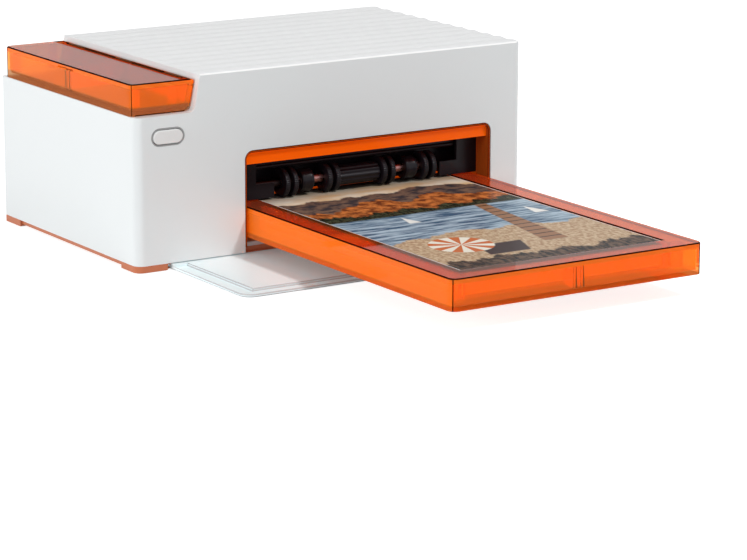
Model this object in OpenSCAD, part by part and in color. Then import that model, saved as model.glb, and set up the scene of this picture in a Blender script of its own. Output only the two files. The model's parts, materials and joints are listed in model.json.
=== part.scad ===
// Compact photo printer with an amber paper cassette pushed into its front, a finished print on the
// cassette lid, an amber storage box in the corner of its top and a rest plate slid out below.
// The inside is a dye transfer print engine: feed shaft, platen, print head and ribbon cartridge.

/* [Body] */
// Width of the white body
body_w = 198; // [192:1:216]
// Depth of the body, front face to back
body_d = 125; // [122:1:138]
// Height of the body above the table
body_h = 83.4; // [82:0.2:92]
// Thickness of the white walls
wall = 2.2; // [1.8:0.1:2.6]
// Radius of the two upright corners at the front
corner_r = 4; // [2:0.5:6]
// Height of the corner feet, up to the underside of the white walls
foot_h = 3.3; // [3.3:0.1:4.4]
// Length of each corner foot along the front
foot_w = 15; // [10:0.5:15]
// Length of each corner foot along the side
foot_d = 14.5; // [10:0.5:20]

/* [Top] */
// Thickness of the ribbed top panel
top_t = 2.2; // [1.8:0.1:3]
// Distance from crest to crest of the ribs across the top
rib_pitch = 10.42; // [6:0.02:14]
// Height of a rib from trough to crest
rib_h = 0.5; // [0.2:0.05:0.9]
// Width of the bevelled lip along the front edge of the top
lip_w = 1; // [0.8:0.1:1.4]

/* [Storage box] */
// Width of the corner step at the top of the body
step_w = 31.6; // [29:0.2:36]
// How far the step wall leans in from top to bottom
step_lean = 3.1; // [1:0.1:4]
// Depth of the corner step below the top
step_h = 16.1; // [14:0.1:18]
// Height of the storage box above its shelf, lid included
box_h = 13.7; // [12:0.1:15]
// Distance from the front face to the storage box
box_front = 3.5; // [2:0.1:6]
// Distance from the storage box to the back of the body
box_back = 3; // [2:0.1:6]
// Wall thickness of the amber mouldings
amber_t = 1.8; // [1.5:0.1:2.2]
// Radius of the storage box hinge pin
box_pin_r = 0.8; // [0.6:0.05:0.9]

/* [Paper] */
// Width of the paper
paper_w = 100; // [90:1:104]
// Length of the paper
paper_l = 148; // [140:1:150]
// Length of the sheet's tail, which is still under the feed discs
tail_l = 17; // [12:0.5:18]
// Thickness of the stack of blank paper
stack_t = 7.5; // [3:0.5:7.5]
// Thickness of the finished print
print_t = 0.3; // [0.2:0.05:0.4]

/* [Cassette] */
// Width of the paper cassette
cas_w = 124.6; // [122:0.2:128]
// Length of the cassette
cas_l = 195; // [190:1:205]
// Height of the cassette
cas_h = 13.4; // [13:0.1:15]
// How far the cassette stands out of the front
cas_out = 157; // [152:1:158]
// Distance from the front end of the cassette to the print
cas_rim = 12.4; // [8:0.2:14]
// Upright corner radius of the cassette
cas_r = 3.5; // [3:0.25:5]
// Thickness of the cassette lid around the print
lid_t = 2.3; // [1.8:0.1:2.6]
// Depth of the recess that holds the print
recess_d = 0.7; // [0.5:0.05:1]

/* [Opening] */
// Distance from the right face to the middle of the opening
bay_side = 80.7; // [79:0.1:82]
// Height from the cassette lid to the top of the opening
exit_h = 24.9; // [24:0.1:27]
// Corner radius of the opening
exit_r = 4; // [3:0.25:6]
// Wall thickness of the amber lining of the opening
lining_t = 1.2; // [1:0.1:1.6]
// Depth of the amber lining
lining_d = 10; // [8:0.5:10]
// Height of the amber band across the top of the opening
band_h = 6.5; // [5:0.1:7]

/* [Rest plate] */
// Gap between the rest plate and the corner foot at each side
rest_gap = 2; // [2:0.1:8]
// How far the rest plate stands out of the front
rest_out = 61.5; // [50:0.5:66]
// Thickness of the rest plate
rest_t = 2.6; // [2.2:0.1:2.6]
// Height of the step from the rim of the rest plate up to its middle
rest_step = 1.2; // [0.4:0.1:1.4]
// Corner radius of the rest plate
rest_r = 6; // [3:0.5:10]
// Distance the rest plate slides in
rest_travel = 58; // [40:1:58]

/* [Button] */
// Distance from the left face to the middle of the button
button_x = 15.7; // [14:0.1:20]
// Depth of the middle of the button below the shelf of the storage box
button_drop = 9.2; // [8.8:0.1:15]
// Length of the button
button_l = 14.2; // [12:0.1:18]
// Width of the button
button_w = 6; // [5.6:0.1:8]

/* [Print engine] */
// Radius of the feed discs
disc_r = 6.4; // [5.8:0.1:6.5]
// Width of a feed disc
disc_w = 2.4; // [1.6:0.1:3]
// Distance from the middle of the opening to the inner feed discs
disc_in = 11; // [9:0.1:14]
// Distance from the middle of the opening to the outer feed discs
disc_out = 32.8; // [32.8:0.1:34]
// Distance from disc to disc in a pair
disc_step = 4.3; // [3.8:0.1:4.8]
// Distance from the middle of the opening to the wide feed wheels
wheel_in = 24; // [22.5:0.1:24]
// Width of a wide feed wheel
wheel_w = 6; // [4:0.1:6]
// Radius of a wide feed wheel
wheel_r = 5.2; // [4.5:0.1:5.8]
// Distance from the front face to the feed shaft
feed_y = 12.8; // [12.6:0.1:13.4]
// Radius of the central feed roller
hub_r = 4.6; // [3.6:0.1:5]
// Width of the window in the dark fascia behind the opening
window_w = 105; // [96:0.5:110]
// Height of the window's sill above the cassette lid
sill_h = 7; // [5:0.1:8]
// Radius of the steel shafts
shaft_r = 2; // [1.5:0.1:2.2]
// Distance from the front face to the platen shaft
platen_y = 62; // [60:0.5:64]
// Radius of the platen roller
platen_r = 7; // [6:0.1:7]
// Height of the platen shaft above the cassette lid
platen_rise = 10.9; // [10:0.1:13]
// Thickness of the engine's side plates
plate_t = 1.2; // [1:0.1:1.6]
// Radius of the wound ribbon
ribbon_r = 7.5; // [5:0.1:8]
// Distance from the platen shaft to each ribbon spool, front to back
spool_reach = 21; // [21:0.5:24]
// Radius of the drive motor
motor_r = 12; // [10:0.5:13]
// Room between the left wall and the drive motor
motor_side = 13.5; // [4:0.5:16]
// Tooth size of the gears
gear_m = 1; // [0.98:0.01:1.02]
// Teeth on the platen gear
platen_n = 20; // [20:1:21]
// Teeth on the feed gear
feed_n = 16; // [16:1:17]
// Teeth on the idler gear
idler_n = 36; // [36:1:37]
// Teeth on the motor pinion
motor_n = 12; // [12:1:13]
// Width of the fan
fan_w = 30; // [25:1:34]

/* [Ribbon door] */
// Length of the ribbon door along the side
door_l = 78; // [70:1:84]
// Height of the ribbon door
door_h = 42; // [38:1:46]
// Radius of the door hinge pin
door_pin_r = 0.7; // [0.5:0.05:0.8]

/* [Fits] */
// Gap between parts that slide past each other
slide_gap = 0.2; // [0.15:0.05:0.3]
// Gap around the cassette in its opening
side_gap = 0.6; // [0.4:0.05:0.9]
// Gap around covers, doors and lids
seam = 0.4; // [0.3:0.05:0.5]
// Radial gap of a turning shaft in its bore
run_gap = 0.05; // [0.03:0.01:0.08]
// Height of the rest plate above the table
table_gap = 0.3; // [0.2:0.05:0.5]

/* [Hidden] */
$fn = 64;
eps = 0.01;

// Heights, built up from the table
rest_top = table_gap + rest_t;
roof_z = rest_top + slide_gap;
base_t = 2.4;
base_top = roof_z + base_t;
band_z = 1.3;
button_z = body_h - step_h - button_drop;
floor_t = 1.8;
runner_h = 2.2;
cas_z = base_top + floor_t + runner_h + slide_gap;
cas_top = cas_z + cas_h;
print_z = cas_top - recess_d;
print_top = print_z + print_t;
feed_z = print_top + 0.15 + disc_r;
exit_top = cas_top + exit_h;
platen_z = cas_top + platen_rise;
shelf_z = body_h - step_h;
top_z = body_h - top_t;

// Places across the body
step_foot = step_w - step_lean;
lean = atan(step_lean / step_h);
exit_w = cas_w + 2 * (side_gap + lining_t);
bay_x = body_w - bay_side;
exit_x = bay_x - exit_w / 2;
cas_x = bay_x - cas_w / 2;
cas_y = -cas_out;
cas_end = cas_y + cas_l;
print_y = cas_y + cas_rim;
print_gap = 0.4;
frame_gap = 1.2;
frame_in = exit_w / 2 + frame_gap;
left_x = bay_x - frame_in;
right_x = bay_x + frame_in;
rear_y = body_d - 3.8;

// Engine
frame_y = feed_y - 7;
chassis_y = lining_d + 9;
frame_end = rear_y - 5;
frame_top = 65;
bar_z = feed_z + disc_r + 0.5;
bar_top = bar_z + 14;
back_y = feed_y + disc_r + 1.2;
lip_r = 0.9;
fascia_y = lining_d + 0.4;
fascia_t = 1.6;
disc_end = disc_out + disc_step + disc_w;
hub_half = disc_in - 0.6;
saddle_d = (wheel_in + wheel_w + disc_out) / 2;
film_t = 0.15;
film_z = platen_z + platen_r + 0.35;
head_z = film_z + film_t + 0.1;
head_t = 2;
head_d = 8;
sink_w = 18;
sink_h = 11;
spool_z = film_z + film_t + ribbon_r + 0.4;
spool_shaft_r = 2;
engine_w = cas_w - 14;
gear_t = 5;
gear_x = left_x - plate_t - 1.3 - gear_t;
motor_a = 15;
motor_d = gear_m * (platen_n + motor_n) / 2;
motor_y = platen_y + motor_d * cos(motor_a);
motor_z = platen_z + motor_d * sin(motor_a);
mount_x = gear_x - 0.6 - plate_t;

// The idler sits above the line from the platen to the feed shaft and meshes with both their gears
idler_a = gear_m * (platen_n + idler_n) / 2;
idler_b = gear_m * (feed_n + idler_n) / 2;
line_y = feed_y - platen_y;
line_z = feed_z - platen_z;
line_l = sqrt(line_y * line_y + line_z * line_z);
line_s = (idler_a * idler_a - idler_b * idler_b + line_l * line_l) / (2 * line_l);
line_h = sqrt(idler_a * idler_a - line_s * line_s);
idler_y = platen_y + (line_y * line_s + line_z * line_h) / line_l;
idler_z = platen_z + (line_z * line_s - line_y * line_h) / line_l;

// Turn of each gear at rest, so that its teeth lie in the gaps of the gear it meshes with
function heading(y0, z0, y1, z1) = atan2(z1 - z0, y1 - y0);
function meshed(way, turn, n0, n1) = way + 180 + (way - turn) * n0 / n1 - 180 / n1;
motor_turn = meshed(motor_a, 0, platen_n, motor_n);
idler_turn = meshed(heading(platen_y, platen_z, idler_y, idler_z), 0, platen_n, idler_n);
feed_turn = meshed(heading(idler_y, idler_z, feed_y, feed_z), idler_turn, idler_n, feed_n);

// Storage box
box_z = shelf_z + slide_gap;
box_top = shelf_z + box_h + slide_gap;
knuckle_r = box_pin_r + 0.5;
hinge_z = box_top - knuckle_r - 0.1;
hinge_x = step_x(hinge_z) - seam - knuckle_r - 0.1;
cover_t = 2.2;
cover_z = box_top - cover_t;
knuckle_l = 14;
box_end = body_d - box_back;
box_mid = (box_front + box_end) / 2;

// Rest plate
rest_x = foot_w + rest_gap;
rest_w = body_w - 2 * rest_x;
rest_tail = 8;
tab_w = 1.1;
tab_z = 1.5;
tab_t = 0.9;

// Ribbon door, hinged along its lower edge
door_t = 2.8;
door_y = 24;
door_z = 28;
door_axis_x = body_w - door_t / 2;
door_axis_z = door_z + door_t / 2;

// Button
button_t = 4;
button_front = 0.5;
groove = 0.25;
ring_w = 0.7;

// Board
board_z = base_top + 6.5;
board_t = 1.6;
board_y = 58;
board_end = rear_y - 1.2;
board_w = 26;
board_x = wall + 1.5;
jack_w = 10;
usb_w = 12;
jack_x = board_x + 1;
usb_x = jack_x + jack_w + 1.6;

// Screws of the base, so far from each side face
screw_side = 8;
screw_r = 1.5;
screw_y = [foot_d + 6, body_d - foot_d - 6];

white = [0.88, 0.89, 0.88];
amber = [1, 0.45, 0.12, 0.75];
terracotta = [0.72, 0.36, 0.2];
dark = [0.1, 0.1, 0.11];
grey = [0.45, 0.45, 0.46];
steel = [0.7, 0.71, 0.73];

// The origin is on the table, under the middle of the body and cassette together
module place() {
    translate([-body_w / 2, (cas_out - body_d) / 2, 0]) children();
}

// Left edge of the upper block at height z
function step_x(z) = step_foot + (z - shelf_z) * tan(lean);

// A box between two corners
module block(a, b) {
    translate(a) cube(b - a);
}

// Draws a front view, x across and z up, from y0 back to y1
module front_view(y0, y1) {
    translate([0, y1, 0]) rotate([90, 0, 0]) linear_extrude(y1 - y0) children();
}

// Draws a side view, y back and z up, from x0 across to x1
module side_view(x0, x1) {
    translate([x0, 0, 0]) rotate([90, 0, 90]) linear_extrude(x1 - x0) children();
}

// A bar along x between x0 and x1
module bar_x(x0, x1, y, z, r) {
    translate([x0, y, z]) rotate([0, 90, 0]) cylinder(h = x1 - x0, r = r);
}

// A bar along y between y0 and y1
module bar_y(y0, y1, x, z, r) {
    translate([x, y1, z]) rotate([90, 0, 0]) cylinder(h = y1 - y0, r = r);
}

// A rectangle with four round corners
module round_rect(x0, y0, x1, y1, r) {
    translate([x0 + r, y0]) square([x1 - x0 - 2 * r, y1 - y0]);
    translate([x0, y0 + r]) square([x1 - x0, y1 - y0 - 2 * r]);
    for (x = [x0 + r, x1 - r], y = [y0 + r, y1 - r]) translate([x, y]) circle(r);
}

// The opening's outline, drawn in by an inset
module exit_outline(inset) {
    x0 = exit_x + inset;
    x1 = exit_x + exit_w - inset;
    z1 = exit_top - inset;
    r = exit_r - inset;
    translate([x0, 0]) square([x1 - x0, z1 - r]);
    translate([x0 + r, 0]) square([x1 - x0 - 2 * r, z1]);
    for (x = [x0 + r, x1 - r]) translate([x, z1 - r]) circle(r);
}

// The case from the front up to height z, with the corner step and the fillet at its foot
module case_outline(z) {
    fillet_r = 3;
    cx = step_foot + fillet_r * (tan(lean) - 1 / cos(lean));
    cz = shelf_z + fillet_r;
    polygon([[0, foot_h], [body_w, foot_h], [body_w, z], [step_x(z), z],
        [step_foot, shelf_z], [0, shelf_z]]);
    difference() {
        polygon([[cx, shelf_z], [step_foot + 1, shelf_z - 1],
            [cx + fillet_r * cos(lean), cz - fillet_r * sin(lean)]]);
        translate([cx, cz]) circle(fillet_r);
    }
}

// The hollow inside the case
module hollow_outline(inset) {
    t = inset / cos(lean);
    polygon([[inset, foot_h - 1], [body_w - inset, foot_h - 1], [body_w - inset, top_z + 1],
        [step_x(top_z + 1) + t, top_z + 1], [step_foot + t, shelf_z - inset],
        [inset, shelf_z - inset]]);
}

// The body from above, with its two round front corners
module plan_outline() {
    translate([0, corner_r]) square([body_w, body_d - corner_r]);
    translate([corner_r, 0]) square([body_w - 2 * corner_r, body_d]);
    for (x = [corner_r, body_w - corner_r]) translate([x, corner_r]) circle(corner_r);
}

// The button's outline, grown by a margin
module button_outline(grow) {
    r = button_w / 2 + grow;
    half = (button_l - button_w) / 2;
    translate([button_x - half, button_z - r]) square([2 * half, 2 * r]);
    for (x = [button_x - half, button_x + half]) translate([x, button_z]) circle(r);
}

// A gear outline with tapered teeth, turned so that one tooth points along the turn
module gear_outline(n, turn) {
    root = gear_m * (n / 2 - 1.15);
    tip = gear_m * (n / 2 + 0.75);
    foot = 0.24 * 360 / n;
    crest = 0.12 * 360 / n;
    sunk = root - 0.6 * gear_m;
    circle(root);
    for (k = [0 : n - 1]) {
        a = turn + k * 360 / n;
        polygon([sunk * [cos(a - foot), sin(a - foot)], tip * [cos(a - crest), sin(a - crest)],
            tip * [cos(a + crest), sin(a + crest)], sunk * [cos(a + foot), sin(a + foot)]]);
    }
}

module gear(n, turn, y, z, bore) {
    translate([0, y, z]) side_view(gear_x, gear_x + gear_t) difference() {
        gear_outline(n, turn);
        circle(bore);
    }
}

// White shell: front, sides and shelf, open above, behind and below
module main_case() {
    place() color(white) difference() {
        intersection() {
            union() {
                front_view(0, body_d) case_outline(top_z);
                front_view(0, lip_w) case_outline(body_h);
            }
            translate([0, 0, foot_h]) linear_extrude(body_h) plan_outline();
        }
        front_view(wall, body_d + 1) hollow_outline(wall);
        front_view(-1, wall + 1) exit_outline(0);
        front_view(-1, wall + 1) button_outline(ring_w + groove);
        // Bevel along the front of the top
        side_view(-1, body_w + 1) polygon([[-1, body_h - 0.6 - 1], [0.6 + 1, body_h + 1], [-1, body_h + 1]]);
        // Doorway for the ribbon
        block([body_w - wall - 1, door_y - seam, door_z - seam],
            [body_w + 1, door_y + door_l + seam, door_z + door_h + seam]);
        bar_y(door_y - 4, door_y + door_l + 4, door_axis_x, door_axis_z, door_pin_r + run_gap);
    }
}

// Ribbed cover of the upper block
module top_panel() {
    waves = ceil(body_d / rib_pitch);
    first = 6.4;
    steps = 12;
    y0 = lip_w;
    n = waves * steps;
    crown = [for (k = [0 : n]) let (y = y0 + (body_d - y0) * k / n)
        [y, body_h - rib_h / 2 + rib_h / 2 * cos(360 * (y - first) / rib_pitch)]];
    place() color(white) intersection() {
        side_view(0, body_w) polygon(concat([[body_d, top_z], [y0, top_z]], crown));
        front_view(-1, body_d + 1) polygon([[step_x(top_z), top_z - 1], [body_w, top_z - 1],
            [body_w, body_h + 1], [step_x(body_h + 1), body_h + 1], [step_x(top_z), top_z]]);
        linear_extrude(body_h + 1) plan_outline();
    }
}

// Back wall, set between the side walls, with vents and the two sockets' windows
module rear_panel() {
    place() color(white) difference() {
        intersection() {
            front_view(rear_y, rear_y + 2.4) hollow_outline(wall + 0.1);
            block([0, 0, base_top], [body_w, body_d, top_z]);
        }
        for (k = [0 : 6]) {
            z = base_top + 22 + 4.4 * k;
            block([fan_x() + 2, rear_y - 1, z], [fan_x() + fan_w - 2, body_d, z + 2.2]);
        }
        for (k = [0 : 9]) {
            x = bay_x - 45 + 6 * k;
            block([x, rear_y - 1, base_top + 46], [x + 3, body_d, base_top + 58]);
        }
        block([jack_x - 0.3, rear_y - 1, board_z + board_t - 0.3],
            [jack_x + jack_w + 0.3, body_d, board_z + board_t + 11.3]);
        block([usb_x - 0.3, rear_y - 1, board_z + board_t - 0.3],
            [usb_x + usb_w + 0.3, body_d, board_z + board_t + 7.3]);
    }
}

function fan_x() = right_x - plate_t - 4 - fan_w;

// Terracotta base with the channel of the rest plate and its two grooves
module base_plate() {
    x0 = rest_x - slide_gap;
    x1 = rest_x + rest_w + slide_gap;
    y1 = rest_travel + rest_tail + 2;
    rail = tab_w + 2 * slide_gap;
    lip_z = 0.5;
    place() color(terracotta) difference() {
        union() {
            block([1, 1, band_z], [body_w - 1, body_d - 1, foot_h]);
            block([wall + 0.1, wall + 0.1, band_z + 0.5], [body_w - wall - 0.1, rear_y - 0.1, base_top]);
            for (x = [x0 - rail, x1]) block([x, 2, lip_z], [x + rail, y1 + 2, band_z + 0.5]);
        }
        front_view(-1, y1) {
            translate([x0, -1]) square([x1 - x0, roof_z + 1]);
            translate([x0 - rail + slide_gap, tab_z - slide_gap])
                square([x1 - x0 + 2 * (rail - slide_gap), tab_t + 2 * slide_gap]);
        }
        for (x = [-1, body_w - foot_w], y = [-1, body_d - foot_d]) {
            block([x, y, -1], [x + foot_w + 1, y + foot_d + 1, foot_h]);
        }
        for (x = [screw_side, body_w - screw_side], y = screw_y) {
            translate([x, y, 0]) cylinder(h = base_top + 1, r = screw_r + 0.1);
            translate([x, y, band_z - 1]) cylinder(h = 2.4, r = 3);
        }
    }
}

// One foot in each corner, each with a pocket for its pad
module corner_feet() {
    pad = 2.5;
    place() color(terracotta) difference() {
        intersection() {
            for (x = [0, body_w - foot_w], y = [0, body_d - foot_d]) {
                block([x, y, table_gap], [x + foot_w, y + foot_d, foot_h]);
            }
            linear_extrude(body_h) plan_outline();
        }
        for (x = [pad, body_w - foot_w + pad], y = [pad, body_d - foot_d + pad]) {
            block([x, y, 0], [x + foot_w - 2 * pad, y + foot_d - 2 * pad, 1.5]);
        }
    }
}

module rubber_pads() {
    pad = 2.5;
    place() color(dark) {
        for (x = [pad, body_w - foot_w + pad], y = [pad, body_d - foot_d + pad]) {
            block([x + 0.1, y + 0.1, 0], [x + foot_w - 2 * pad - 0.1, y + foot_d - 2 * pad - 0.1, 1.5]);
        }
    }
}

// Amber lining of the opening, with the band across its top
module front_lining() {
    fit = 0.1;
    x0 = exit_x + lining_t;
    x1 = exit_x + exit_w - lining_t;
    place() color(amber) intersection() {
        difference() {
            front_view(0.2, lining_d) exit_outline(fit);
            front_view(-1, 2) exit_outline(lining_t);
            front_view(5, lining_d + 1) exit_outline(lining_t);
            block([x0, 1, 0], [x1, 6, exit_top - band_h]);
        }
        block([0, 0, base_top], [body_w, body_d, body_h]);
    }
}

// Light floor of the cassette bay, with runners under the cassette and a stop behind it
module bay_floor() {
    x0 = exit_x + lining_t;
    x1 = exit_x + exit_w - lining_t;
    y0 = wall + 0.2;
    y1 = cas_end + seam + 3;
    place() color([0.8, 0.8, 0.8]) {
        block([x0, y0, base_top], [x1, y1, base_top + floor_t]);
        for (k = [0 : 3]) {
            x = x0 + 12 + k * (x1 - x0 - 24 - 3) / 3;
            block([x, y0 + 8, base_top + floor_t - eps], [x + 3, y1, cas_z - slide_gap]);
        }
        for (x = [x0 + 12, x1 - 24]) {
            block([x, cas_end + seam, base_top + floor_t - eps], [x + 12, y1, cas_z + 8]);
        }
    }
}

// Grey ring flush with the front, around the button
module button_ring() {
    place() color(grey) front_view(0.1, wall + 0.8) difference() {
        button_outline(ring_w + groove - 0.05);
        button_outline(groove);
    }
}

module power_button() {
    place() color([0.85, 0.85, 0.85]) {
        front_view(-button_front, button_t) button_outline(0);
        bar_y(button_t - eps, button_t + 2.2, button_x, button_z, 1.6);
    }
}

// Small push switch behind the button, its plunger one press away from the stem
module tact_switch() {
    y = button_t + 2.2 + 1.2;
    place() color(dark) {
        block([button_x - 3, y + 1, button_z - 3], [button_x + 3, y + 4.5, button_z + 3]);
        bar_y(y, y + 1 + eps, button_x, button_z, 1.4);
    }
}

// Bracket that holds the switch, on the back of the front wall
module switch_bracket() {
    y = button_t + 2.2 + 1.2 + 4.5;
    place() color([0.2, 0.45, 0.3]) difference() {
        union() {
            block([button_x - 10.5, y, button_z - 8], [button_x + 11.5, y + 1.2, button_z + 6]);
            for (x = [button_x - 10.5, button_x + 9.5]) {
                block([x, wall, button_z - 8], [x + 2, y + eps, button_z - 5]);
            }
        }
        bar_y(y - 1, y + 3, button_x - 7.5, button_z, 0.8);
    }
}

// Storage box outline from the front, drawn in by an inset, up to height z
module box_outline(inset, z) {
    x0 = 0.1 + inset;
    lift = inset / cos(lean);
    z0 = box_z + inset;
    right = step_foot - seam / cos(lean) - lift;
    edge = right + (z - shelf_z) * tan(lean);
    polygon([[x0, z0], [right - 2.2, z0], [right + 2.2 * tan(lean), z0 + 2.2], [edge, z], [x0, z]]);
}

// Storage box outline from above
module box_plan(inset) {
    r = max(2.5 - inset, 0.5);
    round_rect(0.1 + inset, box_front + inset, step_w, box_end - inset, r);
    translate([step_w - 4, box_front + inset]) square([4, box_end - box_front - 2 * inset]);
}

// Amber storage box with a double divider at half its length and posts in its corners
module storage_tray() {
    ears = [box_front + 8, box_mid - knuckle_l / 2, box_end - 8 - knuckle_l];
    place() color(amber) difference() {
        union() {
            difference() {
                intersection() {
                    front_view(0, body_d) box_outline(0, cover_z);
                    linear_extrude(body_h) box_plan(0);
                }
                intersection() {
                    front_view(0, body_d) box_outline(amber_t, cover_z + 1);
                    linear_extrude(body_h) box_plan(amber_t);
                }
                // Room for the lid's knuckles
                bar_y(0, body_d, hinge_x, hinge_z, knuckle_r + 0.35);
                block([hinge_x, 0, hinge_z - knuckle_r], [step_w, body_d, body_h]);
            }
            for (y = [box_mid - 2.3, box_mid + 1.2]) {
                intersection() {
                    block([0.5, y, box_z + 0.5], [step_w, y + 1.1, cover_z]);
                    front_view(0, body_d) box_outline(0.2, cover_z);
                    block([0, 0, 0], [hinge_x - knuckle_r - 1.6, body_d, body_h]);
                }
            }
            for (x = [4.4, 22], y = [box_front + 4.2, box_end - 4.2]) {
                translate([x, y, box_z + 0.5]) cylinder(h = cover_z - box_z - 0.5, r = 1.9);
            }
            for (y = ears) {
                bar_y(y, y + knuckle_l, hinge_x, hinge_z, knuckle_r);
                intersection() {
                    block([hinge_x - knuckle_r, y, box_z + 1], [step_w, y + knuckle_l, hinge_z]);
                    front_view(0, body_d) box_outline(0.1, hinge_z);
                }
            }
        }
        bar_y(0, body_d, hinge_x, hinge_z, box_pin_r + run_gap);
    }
}

// Amber lid, hinged along the step wall. Its barrel is as long as the box, but for the tray's ears
module storage_lid() {
    gap = 0.3;
    start = box_front + 8;
    first = start + knuckle_l;
    last = box_end - 8 - knuckle_l;
    left = hinge_x - knuckle_r - gap;
    spans = [[box_front - gap, start], [first, box_mid - knuckle_l / 2],
        [box_mid + knuckle_l / 2, last], [last + knuckle_l, box_end + gap]];
    place() color(amber) difference() {
        union() {
            intersection() {
                block([0, 0, cover_z + 0.1], [hinge_x, body_d, box_top]);
                linear_extrude(body_h) box_plan(0);
            }
            for (span = spans) bar_y(span[0] + gap, span[1] - gap, hinge_x, hinge_z, knuckle_r);
        }
        for (y = [start, box_mid - knuckle_l / 2, last]) {
            block([left, y - gap, 0], [step_w, y + knuckle_l + gap, body_h]);
        }
        bar_y(start - 1, box_end - 7, hinge_x, hinge_z, box_pin_r + run_gap);
        // Finger scoop at the middle of the free edge
        translate([0, box_mid, cover_z]) cylinder(h = 1, r = 7);
    }
}

module storage_hinge_pin() {
    place() color(steel) bar_y(box_front + 9, box_end - 9, hinge_x, hinge_z, box_pin_r);
}

// Side plates of the print engine, with bores for the shafts. The ribbon goes in through a window
// in the right one; the left one carries the driven end of the feed shaft and the idler.
module frame_sheet(x, window) {
    place() color(steel) difference() {
        block([x, frame_y, base_top], [x + plate_t, frame_end, frame_top]);
        bar_x(x - 1, x + plate_t + 1, platen_y, platen_z, shaft_r + run_gap);
        if (window) {
            block([x - 1, cart_y() - seam, film_z - 1.5],
                [x + plate_t + 1, 2 * platen_y - cart_y() + seam, cart_top() + seam]);
        } else {
            bar_x(x - 1, x + plate_t + 1, feed_y, feed_z, shaft_r + run_gap);
            bar_x(x - 1, x + plate_t + 1, idler_y, idler_z, shaft_r);
        }
    }
}

module left_frame() {
    frame_sheet(left_x - plate_t, false);
}

module right_frame() {
    frame_sheet(right_x, true);
}

// Sheet that ties the two side plates together over the head
module top_chassis() {
    place() color(steel) difference() {
        block([left_x - plate_t, chassis_y, frame_top],
            [right_x + plate_t, frame_end, frame_top + plate_t]);
        for (k = [0 : 3]) {
            x = left_x + 18 + k * (frame_in * 2 - 56) / 3;
            block([x, platen_y + 22, frame_top - 1], [x + 20, frame_end - 8, frame_top + 3]);
        }
    }
}

// Dark bar across the front of the engine, over the feed discs, with a round lip along its edge
module upper_guide() {
    y0 = fascia_y + fascia_t + 1.4;
    place() color(dark) difference() {
        union() {
            block([left_x, y0, bar_z], [right_x, back_y - 0.6, bar_top]);
            bar_x(left_x, bay_x + window_w / 2 - 0.5, y0, bar_z + lip_r, lip_r);
        }
        for (k = [0 : 4]) {
            x = left_x + 16 + k * 22;
            block([x, y0 - 3, bar_z + 6], [x + 12, y0 + 3, bar_top - 2]);
        }
    }
}

// Dark fascia behind the opening and a back wall behind the discs, joined by two cheeks. The
// fascia has a wide window, and below it a gap for the discs. Two saddles on the back wall hold
// the feed shaft from behind.
module paper_chute() {
    z0 = cas_top + 0.5;
    gap = disc_end + 3.8;
    place() color(dark) difference() {
        union() {
            difference() {
                block([left_x, fascia_y, z0], [right_x, fascia_y + fascia_t, bar_top]);
                block([bay_x - window_w / 2, fascia_y - 1, cas_top + sill_h],
                    [bay_x + window_w / 2, fascia_y + 3, bar_z + 5]);
                block([bay_x - gap, fascia_y - 1, 0], [bay_x + gap, fascia_y + 3, cas_top + sill_h + 1]);
            }
            block([left_x, back_y, z0], [right_x, back_y + fascia_t, bar_top]);
            for (x = [left_x, right_x - 1.2]) {
                block([x, fascia_y + 1, z0], [x + 1.2, back_y + 1, bar_z - 0.3]);
            }
            for (s = [-1, 1]) {
                x = bay_x + s * saddle_d;
                block([x - 1, feed_y - 0.8, feed_z - 3.2], [x + 1, back_y + 1, feed_z + 3.2]);
            }
        }
        bar_x(0, bay_x + disc_end + 2, feed_y, feed_z, shaft_r + run_gap);
    }
}

module feed_shaft() {
    place() color(steel) bar_x(gear_x - 0.5, bay_x + disc_end + 1, feed_y, feed_z, shaft_r);
}

// Ring around a shaft, between two distances from the middle of the bay, on both sides
module ring_pair(d0, d1, y, z, r, bore) {
    for (s = [-1, 1]) {
        a = bay_x + s * d0;
        b = bay_x + s * d1;
        difference() {
            bar_x(min(a, b), max(a, b), y, z, r);
            bar_x(min(a, b) - 1, max(a, b) + 1, y, z, bore);
        }
    }
}

// Four pairs of thin discs that carry the print out
module eject_discs() {
    place() color([0.25, 0.25, 0.27]) {
        for (d = [disc_in, disc_in + disc_step, disc_out, disc_out + disc_step]) {
            ring_pair(d, d + disc_w, feed_y, feed_z, disc_r, shaft_r);
        }
    }
}

module central_roller() {
    place() color([0.16, 0.16, 0.17]) difference() {
        bar_x(bay_x - hub_half, bay_x + hub_half, feed_y, feed_z, hub_r);
        bar_x(bay_x - disc_in, bay_x + disc_in, feed_y, feed_z, shaft_r);
    }
}

module grip_wheels() {
    place() color(dark) ring_pair(wheel_in, wheel_in + wheel_w, feed_y, feed_z, wheel_r, shaft_r);
}

module feed_gear() {
    place() color([0.9, 0.88, 0.82]) gear(feed_n, feed_turn, feed_y, feed_z, shaft_r);
}

module platen_shaft() {
    place() color(steel) bar_x(gear_x - 0.5, right_x + plate_t + 1, platen_y, platen_z, shaft_r);
}

module platen_roller() {
    place() color(dark) difference() {
        bar_x(bay_x - engine_w / 2, bay_x + engine_w / 2, platen_y, platen_z, platen_r);
        bar_x(0, body_w, platen_y, platen_z, shaft_r);
    }
}

module platen_gear() {
    place() color([0.9, 0.88, 0.82]) gear(platen_n, 0, platen_y, platen_z, shaft_r);
}

module idler_gear() {
    place() color([0.9, 0.88, 0.82]) gear(idler_n, idler_turn, idler_y, idler_z, shaft_r + run_gap);
}

module idler_stud() {
    place() color(steel) bar_x(gear_x - 0.3, left_x, idler_y, idler_z, shaft_r);
}

module motor_pinion() {
    place() color([0.8, 0.65, 0.35]) gear(motor_n, motor_turn, motor_y, motor_z, 1);
}

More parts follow.
